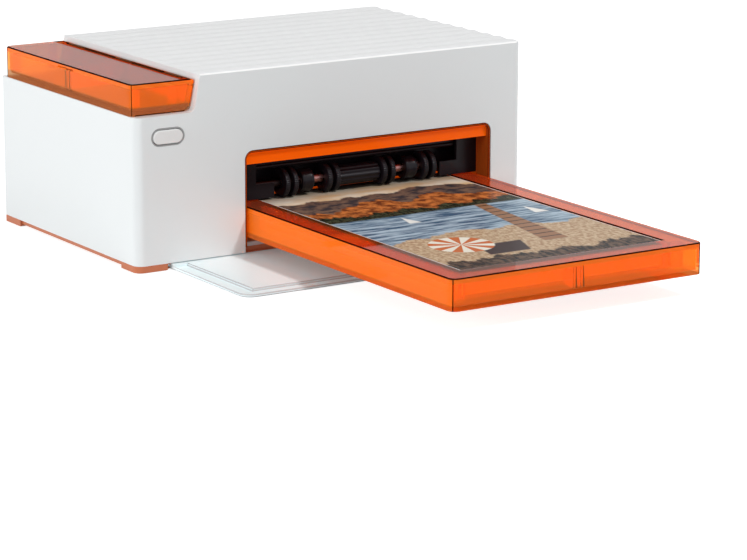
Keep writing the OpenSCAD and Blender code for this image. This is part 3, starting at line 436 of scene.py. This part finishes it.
def metal(name, colour, gloss, along=(1, 1, 1)):
    """Metal, brushed along the axis whose scale is small, which draws the noise out into lines."""
    material = new_material(name)
    tree = material.node_tree
    shader = principled(material)
    shader.inputs["Metallic"].default_value = 1
    lines = noise(tree, object_coords(tree, along), 900, 2)
    pale = tuple(min(1.0, c * 1.06) for c in colour)
    tree.links.new(blend_colours(tree, lines, colour, pale), shader.inputs["Base Color"])
    tree.links.new(spread(tree, lines, gloss * 0.8, gloss * 1.3), shader.inputs["Roughness"])
    bump(tree, shader, lines, 0.000004)
    return material


def roller_steel():
    """Steel tinted warm between the rollers, a painted reflection of the orange cassette, and
    almost black outside them, where the distance from the middle of the bay is more than the last
    disc's."""
    material = metal("roller_shaft", (0.4, 0.2, 0.19), 0.3, (0.05, 1, 1))
    tree = material.node_tree
    shader = principled(material)
    low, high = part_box("eject_discs")
    place = axis_values(tree, object_coords(tree))[0]
    aside = maths(tree, "ABSOLUTE", maths(tree, "SUBTRACT", place, (low[0] + high[0]) / 2))
    outside = maths(tree, "GREATER_THAN", aside, (high[0] - low[0]) / 2)
    # The warm steel tint is a painted reflection of the orange cassette.
    painted_reflection = shader.inputs["Base Color"].links[0].from_socket
    finish = blend_colours(tree, outside, painted_reflection, (0.03, 0.02, 0.02))
    tree.links.new(finish, shader.inputs["Base Color"])
    return material


def paper(name, colour):
    """Matt paper whose fibres are faint fine noise."""
    return plastic(name, colour, 0.75, grain=3800, depth=0.00002, drift=0.02)


roller_rubber = rubber("roller_rubber", (0.011, 0.009, 0.013), 0.3)
foot_rubber = rubber("foot_rubber", (0.03, 0.03, 0.03), 0.6)
sheet_steel = metal("sheet_steel", (0.5, 0.51, 0.52), 0.35, (0.1, 1, 1))
shaft_steel = metal("shaft_steel", (0.62, 0.63, 0.65), 0.2, (0.05, 1, 1))
roller_shaft = roller_steel()
aluminium = metal("sink_aluminium", (0.72, 0.73, 0.74), 0.32, (0.05, 1, 1))
brass = metal("brass", (0.78, 0.58, 0.27), 0.28)
blank_paper = paper("blank_paper", (0.9, 0.88, 0.84))
ribbon_film_clear = amber_plastic("ribbon_film", (0.5, 0.05, 0.12), 0.6, 0.1)
print("materials:", len(bpy.data.materials))

# %% [markdown]
# Every visible node gets the finish of its real material. The engine's inner parts keep their CAD
# shape, because that shape is already true: shafts, gears, sheets and sockets.

# %% Dress the nodes
FINISH = {
    white_gloss: ["main_case", "ribbon_door"],
    white_satin: ["top_panel", "rear_panel"],
    plate_white: ["rest_plate"],
    button_white: ["power_button"],
    ring_grey: ["button_ring"],
    pale_plastic: ["bay_floor"],
    terracotta: ["base_plate", "corner_feet"],
    foot_rubber: ["rubber_pads"],
    amber_box: ["storage_tray"],
    amber_lid: ["storage_lid"],
    amber_cassette: ["cassette_tray"],
    amber_rim: ["cassette_lid"],
    amber_lining: ["front_lining"],
    dark_plastic: ["upper_guide", "paper_chute", "fan_frame", "fan_rotor"],
    roller_rubber: ["eject_discs", "central_roller", "grip_wheels", "platen_roller"],
    roller_shaft: ["feed_shaft"],
    shaft_steel: ["platen_shaft", "idler_stud", "motor_shaft", "storage_hinge_pin",
                  "door_hinge_pin", "usb_port", "case_screws"],
    sheet_steel: ["left_frame", "right_frame", "top_chassis", "motor_mount", "lift_plate",
                  "drive_motor"],
    aluminium: ["head_heatsink"],
    gear_ivory: ["feed_gear", "platen_gear", "idler_gear"],
    brass: ["motor_pinion", "board_standoffs"],
    ceramic: ["print_head"],
    cartridge_grey: ["ribbon_cartridge"],
    ribbon_ink: ["supply_spool"],
    ribbon_spent: ["takeup_spool"],
    ribbon_film_clear: ["ribbon_film"],
    board_green: ["main_board", "switch_bracket"],
    chip_black: ["board_chips", "power_jack", "tact_switch"],
    blank_paper: ["paper_stack"],
}
material_of = {node: material for material, nodes in FINISH.items() for node in nodes}
for node, material in material_of.items():
    mesh = frame["nodes"][node].data
    mesh.materials.clear()
    mesh.materials.append(material)
print("nodes dressed:", len(material_of))

# %% [markdown]
# A moulded edge is never sharp: it has a radius of a few tenths of a millimetre, and that radius is
# what catches the light along every edge of the photograph. A copy of a node is merged into clean
# faces and given a Bevel modifier. Only the edges that turn by more than 30 degrees are rounded, so
# the node's own curves stay as they are.

# %% Softened copies
SHARP = math.radians(30)
FLAT = math.radians(0.5)
MERGE = 0.005 * MM
PLANE_GAP = 0.05 * MM
NEAR_FRONT = 20 * MM
RIB_REACH = 4 * MM
WALL_REACH = 3 * MM
LOW_SHARE = 0.75


def add_piece(name, mesh, node):
    """Links a mesh as a piece that rides with a node's body and stands for it."""
    piece = bpy.data.objects.new(name, mesh)
    bpy.context.scene.collection.objects.link(piece)
    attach(piece, body_of_node[node])
    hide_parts(node)
    return piece


def lined_edges(shape, low, high, where):
    """Sharp edges that a line follows: in the top plane, in the front plane, the low ones of those,
    all that start near the front, or upright at the divider, which stands in the middle of the side
    or of the front."""
    chosen = []
    middle = (low + high) / 2
    tall = high[2] - low[2]
    for edge in shape.edges:
        first, last = (vert.co for vert in edge.verts)
        lower = min(first.z, last.z)
        upright = abs(first.z - last.z) > tall / 2
        in_front = max(first.y, last.y) < low[1] + PLANE_GAP
        mid_side = abs(first.y - middle[1]) < RIB_REACH and first.x < low[0] + WALL_REACH
        mid_front = abs(first.x - middle[0]) < RIB_REACH and first.y < low[1] + WALL_REACH
        places = {"top": lower > high[2] - PLANE_GAP,
                  "outside": min(first.y, last.y) < low[1] + NEAR_FRONT,
                  "front": in_front,
                  "low front": in_front and lower < low[2] + tall * LOW_SHARE,
                  "side rib": upright and mid_side,
                  "front rib": upright and mid_front}
        sharp = len(edge.link_faces) == 2 and edge.calc_face_angle(0) > SHARP
        if sharp and any(places[name] for name in where):
            chosen.append(edge)
    return chosen


def softened(node, radius, steps=3, lines=(), line_finish=None, parts=()):
    """A copy of a node with its doubles merged, its flat faces joined and its edges rounded. Where
    lines are named, only those edges are cut, and the cut has a finish of its own. Each of the
    parts is a finish and a test, and the faces whose normal and centre pass the test have it."""
    mesh = frame["nodes"][node].data.copy()
    shape = bmesh.new()
    shape.from_mesh(mesh)
    bmesh.ops.remove_doubles(shape, verts=shape.verts, dist=MERGE)
    bmesh.ops.dissolve_limit(shape, angle_limit=FLAT, verts=shape.verts, edges=shape.edges)
    for edge in shape.edges:
        turn = edge.calc_face_angle(0) if len(edge.link_faces) == 2 else 0
        edge.smooth = turn < SHARP
    for face in shape.faces:
        face.smooth = True
    for finish, test in parts:
        mesh.materials.append(finish)
        for face in shape.faces:
            if test(face.normal, face.calc_center_median()):
                face.material_index = len(mesh.materials) - 1
    if lines:
        weight = shape.edges.layers.float.new("bevel_weight_edge")
        for edge in lined_edges(shape, *(Vector(corner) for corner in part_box(node)), lines):
            edge[weight] = 1
    shape.to_mesh(mesh)
    shape.free()
    piece = add_piece(node + "_soft", mesh, node)
    rounding = piece.modifiers.new("rounding", "BEVEL")
    rounding.width = radius
    rounding.segments = steps
    rounding.limit_method = "WEIGHT" if lines else "ANGLE"
    rounding.angle_limit = SHARP
    rounding.use_clamp_overlap = not lines
    rounding.harden_normals = True
    if lines:
        rounding.material = len(mesh.materials)
        mesh.materials.append(line_finish)
    return piece


def sideways(normal, centre):
    """A wall that looks left or right."""
    return abs(normal.x) > 0.7


def upright(normal, centre):
    """Any wall."""
    return abs(normal.z) < 0.5


def front_bevel(normal, centre):
    """The narrow bevel along the front of the top, which looks forwards and up."""
    return normal.z > 0.5 and normal.y < -0.5


EDGE_RADII = {"ribbon_door": 0.35, "corner_feet": 0.4, "base_plate": 0.3, "upper_guide": 0.25,
              "paper_chute": 0.2, "rear_panel": 0.25, "power_button": 0.5, "main_case": 0.35}
for node, radius in EDGE_RADII.items():
    # The case's front bevel wears the painted highlight.
    bevel_painted_highlight = [(painted_highlight_white, front_bevel)] if node == "main_case" else []
    piece = softened(node, radius * MM, parts=bevel_painted_highlight)
    print(piece.name, len(piece.data.polygons), "faces before rounding")

# %% [markdown]
# Clear plastic shows its outline as thin dark lines, because at a rim and at a corner the light is
# bent away from the eye. The amber mouldings get such lines where the photograph has them, as
# narrow chamfers with a dark finish of their own, which is painted shade. The rim of the white rest
# plate gets grey ones in the same way, painted shade on the faces of its steps.

# %% Amber outlines
CORNER_REACH = 3.4 * MM
EAR_REACH = 2 * MM
EAR_H = 2.7 * MM


def corner_arc(node, right, back, heading, reach):
    """A test for the faces on one round outer corner of a node that look towards a heading in
    degrees, give or take the reach. Right and back are 1 on that side and 0 on the other. The
    heading is the angle of a face's normal about z, and the corner is that of the node's box."""
    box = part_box(node)
    corner = Vector((box[right][0], box[back][1]))

    def test(normal, centre):
        """Whether a face with this normal and centre lies on the arc."""
        aside = math.degrees(math.atan2(normal.y, normal.x)) - heading
        near = (centre.xy - corner).length < CORNER_REACH
        return near and abs(normal.z) < 0.2 and abs((aside + 180) % 360 - 180) < reach

    return test


def hinge_ear(normal, centre):
    """The knuckles of the storage box along its hinge."""
    return centre.x > lid_hinge + EAR_REACH and centre.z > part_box("storage_tray")[1][2] - EAR_H


def downwards(normal, centre):
    """The underside."""
    return normal.z < -0.5


def dark_corners(node):
    """The arcs that show as dark lines: the near corner, and the two at the ends of the outline."""
    arcs = (0, 0, 225, 6), (0, 1, 162, 17), (1, 0, 310, 17)
    return [(amber_line, corner_arc(node, *arc)) for arc in arcs]


LINE_WIDTH = 0.5 * MM
OUTLINES = {
    "storage_tray": (("low front", "side rib"), [(amber_wall_painted_glow, upright), (amber_hinge, hinge_ear)]),
    "storage_lid": (("top",), [(amber_slab_painted_glow, upright)]),
    "cassette_tray": (("front rib",), [(amber_side_painted_glow, sideways), (amber_base, downwards)]),
    "cassette_lid": (("top",), [(amber_slab_painted_glow, upright)]),
}
LINED = {node: (lines, amber_line, parts + dark_corners(node))
         for node, (lines, parts) in OUTLINES.items()}
# The lining's side faces, the jambs, wear the painted shade.
LINED["front_lining"] = (("front",), amber_edge, [(amber_jamb_painted_shade, sideways)])
# The plate's grey lines are painted shade on the faces of its steps.
LINED["rest_plate"] = (("outside",), plate_painted_shade, [])
for node, (lines, finish, parts) in LINED.items():
    piece = softened(node, LINE_WIDTH, 1, lines, finish, parts)
    print(piece.name, len(piece.data.polygons), "faces, lined at", lines)

# %% [markdown]
# The top is ribbed like corduroy, and at this low angle only the slope of each rib shows. It is one
# cosine along the depth, carried across the width. A surface carried along a path needs one helper,
# which joins rings of points into a closed skin and is used again for the rollers and the print.

# %% Skins from rings
def skin_faces(rings, points, around):
    """Quads between neighbouring points of neighbouring rings. Each ring is a closed loop; the last
    ring joins the first one where around is true."""
    ring = np.arange(rings if around else rings - 1)[:, None]
    point = np.arange(points)[None, :]
    ahead = (ring + 1) % rings
    after = (point + 1) % points
    here, there = ring * points, ahead * points
    quads = (here + point, here + after, there + after, there + point)
    return np.stack([np.broadcast_to(q, (ring.size, points)).ravel() for q in quads], axis=1)


def skin(name, shells, around=False, crease=35):
    """One mesh from shells, each an array of rings by points by 3. An open shell is closed by a
    face over its first ring and one over its last. Edges that turn more than the crease, in
    degrees, stay sharp."""
    places, faces, count = [], [], 0
    for shell in shells:
        rings, points = shell.shape[:2]
        places.append(shell.reshape(-1, 3))
        faces += (skin_faces(rings, points, around) + count).tolist()
        if not around:
            last = count + (rings - 1) * points
            faces.append(list(range(count, count + points))[::-1])
            faces.append(list(range(last, last + points)))
        count += rings * points
    mesh = bpy.data.meshes.new(name)
    mesh.from_pydata(np.concatenate(places).tolist(), [], faces)
    shape = bmesh.new()
    shape.from_mesh(mesh)
    bmesh.ops.recalc_face_normals(shape, faces=shape.faces)
    shape.to_mesh(mesh)
    shape.free()
    mesh.polygons.foreach_set("use_smooth", np.ones(len(mesh.polygons), dtype=bool))
    mesh.set_sharp_from_angle(angle=math.radians(crease))
    return mesh


# %% Ribbed top
RIB_PITCH = 10.42 * MM
RIB_DEPTH = 0.5 * MM
FIRST_CREST = 6.2 * MM
FADE_W = 4 * MM
RIB_SHADING = 0.2 * MM
RIB_STEPS = 14
EDGE_R = 0.5 * MM
CORNER_R = 4 * MM
STEP_H = 16.1 * MM
STEP_LEAN = 3.1 * MM
top_low, top_high = (np.array(corner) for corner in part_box("top_panel"))
case_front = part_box("main_case")[0][1]


def ribbed_finish():
    """The case's satin white, whose shading follows the same wave a little more strongly."""
    material = plastic("white_ribs", WHITE, 0.42, **SATIN)
    tree = material.node_tree
    fine = principled(material).inputs["Normal"].links[0].from_node
    along = axis_values(tree, object_coords(tree))[1]
    rate = 2 * math.pi / RIB_PITCH
    turn = maths(tree, "MULTIPLY_ADD", along, rate, -rate * (case_front + FIRST_CREST))
    coarse = tree.nodes.new("ShaderNodeBump")
    coarse.inputs["Distance"].default_value = RIB_SHADING
    tree.links.new(maths(tree, "COSINE", turn), coarse.inputs["Height"])
    tree.links.new(coarse.outputs["Normal"], fine.inputs["Normal"])
    return material


def ribbed_top():
    """Sections along y. Each section is a slab whose top lies at
    z(y) = high - depth / 2 + depth / 2 * cos(2 pi (y - crest) / pitch),
    but straight at mid depth along the left edge, which leans in as the corner step's wall does.
    Its two upper corners are quarter circles. The right edge follows the case's round corner, a
    quarter circle about a centre that lies its radius inwards."""
    count = int((top_high[1] - top_low[1]) / RIB_PITCH * RIB_STEPS)
    y = np.linspace(top_low[1], top_high[1], count)
    wave = np.cos(2 * np.pi * (y - case_front - FIRST_CREST) / RIB_PITCH)
    flat = np.full(count, top_high[2] - RIB_DEPTH / 2)
    z = flat + RIB_DEPTH / 2 * wave
    turn = np.linspace(0, np.pi / 2, 6)
    left = top_low[0] + (flat - top_low[2]) * STEP_LEAN / STEP_H
    inward = np.clip(case_front + CORNER_R - y, 0, CORNER_R)
    right = top_high[0] - CORNER_R + np.sqrt(CORNER_R ** 2 - inward ** 2)
    low = np.full(count, top_low[2])
    xs = [np.full(count, top_low[0]), right]
    zs = [low, low]
    for a in turn:
        xs.append(right - EDGE_R * (1 - math.cos(a)))
        zs.append(z - EDGE_R * (1 - math.sin(a)))
    for share in (0.25, 0.5, 0.75):
        xs.append(left + EDGE_R + FADE_W * (1 - share))
        zs.append(flat + (z - flat) * math.cos(math.pi / 2 * share) ** 2)
    for a in turn[::-1]:
        xs.append(left + EDGE_R * (1 - math.cos(a)))
        zs.append(flat - EDGE_R * (1 - math.sin(a)))
    ys = np.broadcast_to(y[:, None], (count, len(xs)))
    shell = np.stack((np.array(xs).T, ys, np.array(zs).T), axis=2)
    piece = add_piece("top_ribs", skin("top_ribs", [shell]), "top_panel")
    piece.data.materials.append(ribbed_finish())
    return piece


ribs = ribbed_top()
print(ribs.name, round((top_high[1] - top_low[1]) / RIB_PITCH, 1), "ribs")

# %% [markdown]
# The rollers in the opening are soft-edged rings on a steel shaft. A ring's section is a
# superellipse, which is a rectangle with round corners, and turning it about the shaft gives the
# ring. The discs carry fine teeth on their rims, the wheels are grooved, and the thin roller in the
# middle is fluted along its length.

# %% Feed rollers
disc_low, disc_high = (np.array(corner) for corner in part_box("eject_discs"))
shaft_y = (disc_low[1] + disc_high[1]) / 2
shaft_z = (disc_low[2] + disc_high[2]) / 2
disc_radius = (disc_high[2] - disc_low[2]) / 2
wheel_low, wheel_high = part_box("grip_wheels")
wheel_radius = (wheel_high[2] - wheel_low[2]) / 2
SHAFT_RADIUS = 2 * MM
SECTION_POINTS = 40
TOOTH_H = 0.08 * MM
GROOVE_H = 0.08 * MM
FLUTE_H = 0.18 * MM
bay_middle = (disc_low[0] + disc_high[0]) / 2


def ring_shell(x0, x1, radius, power=6, teeth=0, tooth=0.0, grooves=0, groove=0.0, around=144):
    """A ring about the feed shaft. With t around its section and a around the shaft,
    x = middle + half width * |cos t|^(2/power) and r = mean + half height * |sin t|^(2/power), both
    with the sign of the cosine or sine. Where sin t is positive, r also gains
    tooth * (cos(teeth a) - 1) and groove * (cos(grooves pi w) - 1), with w from -1 to 1 across."""
    t = np.linspace(0, 2 * np.pi, SECTION_POINTS, endpoint=False)
    a = np.linspace(0, 2 * np.pi, around, endpoint=False)[:, None]
    bend_x = np.sign(np.cos(t)) * np.abs(np.cos(t)) ** (2 / power)
    bend_r = np.sign(np.sin(t)) * np.abs(np.sin(t)) ** (2 / power)
    outer = np.clip(bend_r, 0, 1)
    x = (x0 + x1) / 2 + (x1 - x0) / 2 * bend_x + 0 * a
    r = (radius + SHAFT_RADIUS) / 2 + (radius - SHAFT_RADIUS) / 2 * bend_r
    r = r + outer * tooth * (np.cos(teeth * a) - 1)
    r = r + outer * groove * (np.cos(grooves * np.pi * bend_x) - 1)
    return np.stack((x, shaft_y + r * np.cos(a), shaft_z + r * np.sin(a)), axis=2)


def rings(name, node, material, spans, radius, **shape):
    """Rings between two distances from the middle of the bay, on both sides of it."""
    shells = []
    for near, far in spans:
        for side in (-1, 1):
            ends = (bay_middle + side * near * MM, bay_middle + side * far * MM)
            shells.append(ring_shell(*ends, radius, **shape))
    piece = add_piece(name, skin(name, shells, around=True, crease=50), node)
    piece.data.materials.append(material)
    return piece


# Widths and distances from the middle of the bay, in millimetres
DISC_WIDTH = 2.4
DISC_NEAR = (11.0, 15.3, 32.8, 37.1)
WHEEL_SPAN = (24.0, 30.0)
disc_spans = [(near, near + DISC_WIDTH) for near in DISC_NEAR]
rings("eject_disc_rings", "eject_discs", roller_rubber, disc_spans, disc_radius, teeth=48,
      tooth=TOOTH_H, around=288)
rings("grip_wheel_tyres", "grip_wheels", roller_rubber, [WHEEL_SPAN], wheel_radius, grooves=6,
      groove=GROOVE_H)
hub_low, hub_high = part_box("central_roller")
hub = ring_shell(hub_low[0], hub_high[0], (hub_high[2] - hub_low[2]) / 2, power=24, teeth=12,
                 tooth=FLUTE_H)
hub_skin = skin("central_roller_sleeve", [hub], around=True)
hub_piece = add_piece("central_roller_sleeve", hub_skin, "central_roller")
hub_piece.data.materials.append(roller_rubber)
print("shaft at y, z:", round(shaft_y, 4), round(shaft_z, 4))

# %% [markdown]
# The print is a sheet of glossy photo paper. What it shows is a made-up lake seen from a beach, in
# the same family of colours: cream sky, terracotta hills, black woods, denim blue water, a wooden
# jetty and a striped sunshade. Every shape is a formula of u and v, the sheet's two directions.

# %% Print artwork
sheet_low, sheet_high = (np.array(corner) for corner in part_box("photo_print"))
sheet_span = sheet_high - sheet_low
SHEET_RATIO = float(sheet_span[1] / sheet_span[0])
LINE_BLUR = 0.004
RIM_BLUR = 0.006


def sheet_coords(tree):
    """u from 0 to 1 across the sheet and v from 0 at its front to 1 at its back."""
    coords = tree.nodes.new("ShaderNodeTexCoord")
    mapping = tree.nodes.new("ShaderNodeMapping")
    start = -sheet_low / sheet_span
    mapping.inputs["Scale"].default_value = (1 / sheet_span[0], 1 / sheet_span[1], 1)
    mapping.inputs["Location"].default_value = (start[0], start[1], 0)
    tree.links.new(coords.outputs["Object"], mapping.inputs["Vector"])
    place = axis_values(tree, mapping.outputs["Vector"])
    return mapping.outputs["Vector"], place[0], place[1]


def stretched(tree, vector, scale, detail, across, along, offset=0.0):
    """Noise on sheet coordinates, stretched across and along the sheet."""
    mapping = tree.nodes.new("ShaderNodeMapping")
    mapping.inputs["Scale"].default_value = (across, along, 0)
    mapping.inputs["Location"].default_value = (offset, offset, 0)
    tree.links.new(vector, mapping.inputs["Vector"])
    return noise(tree, mapping.outputs["Vector"], scale, detail, 0.6)


def beyond(tree, u, v, start, end):
    """1 on the right-hand side of the line from start to end, 0 on its left, with a short ramp."""
    across, along = end[1] - start[1], start[0] - end[0]
    here = maths(tree, "MULTIPLY_ADD", u, across, -across * start[0] - along * start[1])
    here = maths(tree, "MULTIPLY_ADD", v, along, here)
    length = math.hypot(across, along)
    return spread(tree, here, 0, 1, -LINE_BLUR * length, LINE_BLUR * length)


def patch(tree, u, v, corners):
    """1 inside a patch whose corners run clockwise."""
    inside = 1.0
    for start, end in zip(corners, corners[1:] + corners[:1]):
        inside = maths(tree, "MULTIPLY", beyond(tree, u, v, start, end), inside)
    return inside


def sunshade(tree, u, v, centre, radius, panels):
    """A disc of a radius about a centre, and its stripes, which change with the sign of the sine of
    panels times the angle about the centre. Both have a short ramp."""
    across = maths(tree, "SUBTRACT", u, centre[0])
    along = maths(tree, "MULTIPLY", maths(tree, "SUBTRACT", v, centre[1]), SHEET_RATIO)
    reach = maths(tree, "SQRT", maths(tree, "ADD", maths(tree, "MULTIPLY", across, across),
                                      maths(tree, "MULTIPLY", along, along)))
    angle = maths(tree, "ARCTAN2", along, across)
    stripes = maths(tree, "SINE", maths(tree, "MULTIPLY", angle, panels))
    disc = spread(tree, reach, 1, 0, radius, radius + RIM_BLUR)
    return disc, spread(tree, stripes, 0, 1, -0.15, 0.15)


print("the sheet is", round(SHEET_RATIO, 3), "times as long as it is wide")

# %% [markdown]
# The picture is painted from back to front, as scenery is set on a stage: first the sky, then six
# layers that each hide what lies below their own ridge, and last the jetty, the sails and the
# sunshade. Noise gives the ridges and the streaks, because no two waves or hills are alike.

# %% Picture in layers
# A layer's ridge height, the swing of its ridge, the cells of that swing, the streaks across and
# along it, and its two colours, from the hills at the back to the dark ground in front
LAYERS = (
    (0.86, 0.10, 2.2, (2, 5), (0.22, 0.13, 0.09), (0.05, 0.04, 0.045)),
    (0.76, 0.16, 3.1, (3, 5), (0.66, 0.20, 0.05), (0.16, 0.04, 0.015)),
    (0.655, 0.08, 6.5, (8, 5), (0.008, 0.010, 0.007), (0.06, 0.065, 0.035)),
    (0.60, 0.015, 1.0, (0.7, 8), (0.05, 0.11, 0.19), (0.46, 0.58, 0.68)),
    (0.34, 0.14, 1.6, (9, 9), (0.66, 0.50, 0.33), (0.42, 0.25, 0.14)),
    (0.08, 0.13, 4.0, (7, 4), (0.008, 0.007, 0.007), (0.15, 0.09, 0.06)),
)


def sky(tree, vector, v):
    """Cream clouds of stretched noise, dark along the top of the picture."""
    clouds = spread(tree, stretched(tree, vector, 3, 5, 1, 3.5), 0, 1, 0.42, 0.62)
    picture = blend_colours(tree, clouds, (0.80, 0.55, 0.30), (0.92, 0.85, 0.70))
    return blend_colours(tree, spread(tree, v, 0, 1, 0.86, 1.0), picture, (0.10, 0.12, 0.13))


def with_layers(tree, vector, v, picture):
    """Each layer covers what lies below its ridge, v = height + swing * (2 * noise - 1). The ridge
    is a short ramp."""
    for index, (height, swing, grain, streaks, first, second) in enumerate(LAYERS):
        edge = stretched(tree, vector, grain, 6, 1.5, 0.35, 3.1 * index + 1)
        ridge = maths(tree, "MULTIPLY_ADD", edge, 2 * swing, height - swing)
        inside = spread(tree, maths(tree, "SUBTRACT", ridge, v), 0, 1, 0, 0.01)
        streak = stretched(tree, vector, 7, 6, *streaks, 5.7 * index)
        texture = blend_colours(tree, spread(tree, streak, 0, 1, 0.4, 0.6), first, second)
        picture = blend_colours(tree, inside, picture, texture)
    return picture


JETTY = ((0.60, 0.16), (0.74, 0.60), (0.80, 0.60), (0.72, 0.16))
PLANKS = 26
SAILS = (((0.88, 0.44), (0.905, 0.52), (0.95, 0.44)), ((0.30, 0.50), (0.33, 0.57), (0.36, 0.50)))
SHADOW = ((0.26, 0.10), (0.30, 0.20), (0.52, 0.20), (0.46, 0.10))
SHADE_CENTRE = (0.26, 0.23)
SHADE_RADIUS = 0.135
SHADE_PANELS = 9
SAIL_WHITE = (0.9, 0.88, 0.84)
PAPER_WHITE = (0.8, 0.78, 0.74)


def with_beach(tree, u, v, picture):
    """The jetty, whose planks are the fraction of v times their number, two sails, and the
    sunshade with its shadow on the sand."""
    planks = maths(tree, "FRACT", maths(tree, "MULTIPLY", v, PLANKS))
    gaps = spread(tree, planks, 0, 1, 0.12, 0.2)
    wood = blend_colours(tree, gaps, (0.02, 0.012, 0.01), (0.34, 0.17, 0.09))
    picture = blend_colours(tree, patch(tree, u, v, JETTY), picture, wood)
    for sail in SAILS:
        picture = blend_colours(tree, patch(tree, u, v, sail), picture, SAIL_WHITE)
    picture = blend_colours(tree, patch(tree, u, v, SHADOW), picture, (0.05, 0.03, 0.03))
    disc, stripes = sunshade(tree, u, v, SHADE_CENTRE, SHADE_RADIUS, SHADE_PANELS)
    cloth = blend_colours(tree, stripes, (0.62, 0.16, 0.05), (0.9, 0.84, 0.72))
    return blend_colours(tree, disc, picture, cloth)


def within(tree, value, reach):
    """1 where a value from 0 to 1 is nearer to a half than the reach."""
    aside = maths(tree, "ABSOLUTE", maths(tree, "SUBTRACT", value, 0.5))
    return maths(tree, "LESS_THAN", aside, reach)


def print_material():
    """Glossy paper with the picture inside a narrow white border."""
    material = new_material("photo_gloss")
    tree = material.node_tree
    shader = principled(material)
    vector, u, v = sheet_coords(tree)
    picture = with_beach(tree, u, v, with_layers(tree, vector, v, sky(tree, vector, v)))
    inside = maths(tree, "MULTIPLY", within(tree, u, 0.495), within(tree, v, 0.4965))
    bordered = blend_colours(tree, inside, PAPER_WHITE, picture)
    tree.links.new(bordered, shader.inputs["Base Color"])
    shader.inputs["Roughness"].default_value = 0.25
    shader.inputs["IOR"].default_value = 1.07
    bump(tree, shader, noise(tree, object_coords(tree), 700, 2), 0.000004)
    return material


print("layers in the picture:", len(LAYERS))

# %% [markdown]
# The sheet itself is a grid of points for its top and one for its underside, joined at the edges.
# Paper that lies on a tray is never quite flat, so it sags a little in the middle.

# %% Print sheet
SHEET_INSET = 0.05 * MM
SHEET_SAG = 0.06 * MM
SHEET_T = 0.22 * MM
SHEET_ROWS = 90
SHEET_COLUMNS = 60


def print_sheet():
    """A sheet of two faces, joined around its edge. Its top lies at
    z(u, v) = high - sag * (1 - cos(2 pi v)) / 2 * cos(pi (u - 1/2)), and its underside a thickness
    lower. The sag is less than that thickness."""
    v = np.linspace(0, 1, SHEET_ROWS)[:, None]
    u = np.linspace(0, 1, SHEET_COLUMNS)[None, :]
    x = sheet_low[0] + SHEET_INSET + (sheet_span[0] - 2 * SHEET_INSET) * u + 0 * v
    y = sheet_low[1] + SHEET_INSET + (sheet_span[1] - 2 * SHEET_INSET) * v + 0 * u
    top = sheet_high[2] - SHEET_SAG * (1 - np.cos(2 * np.pi * v)) / 2 * np.cos(np.pi * (u - 0.5))
    under = top - SHEET_T
    upper = np.stack((x, y, top), axis=2)
    lower = np.stack((x, y, under), axis=2)[:, ::-1]
    shell = np.concatenate((upper, lower), axis=1)
    piece = add_piece("print_sheet", skin("print_sheet", [shell]), "photo_print")
    piece.data.materials.append(print_material())
    return piece


print_sheet()
print("print size in mm:", np.round(sheet_span / MM, 1))
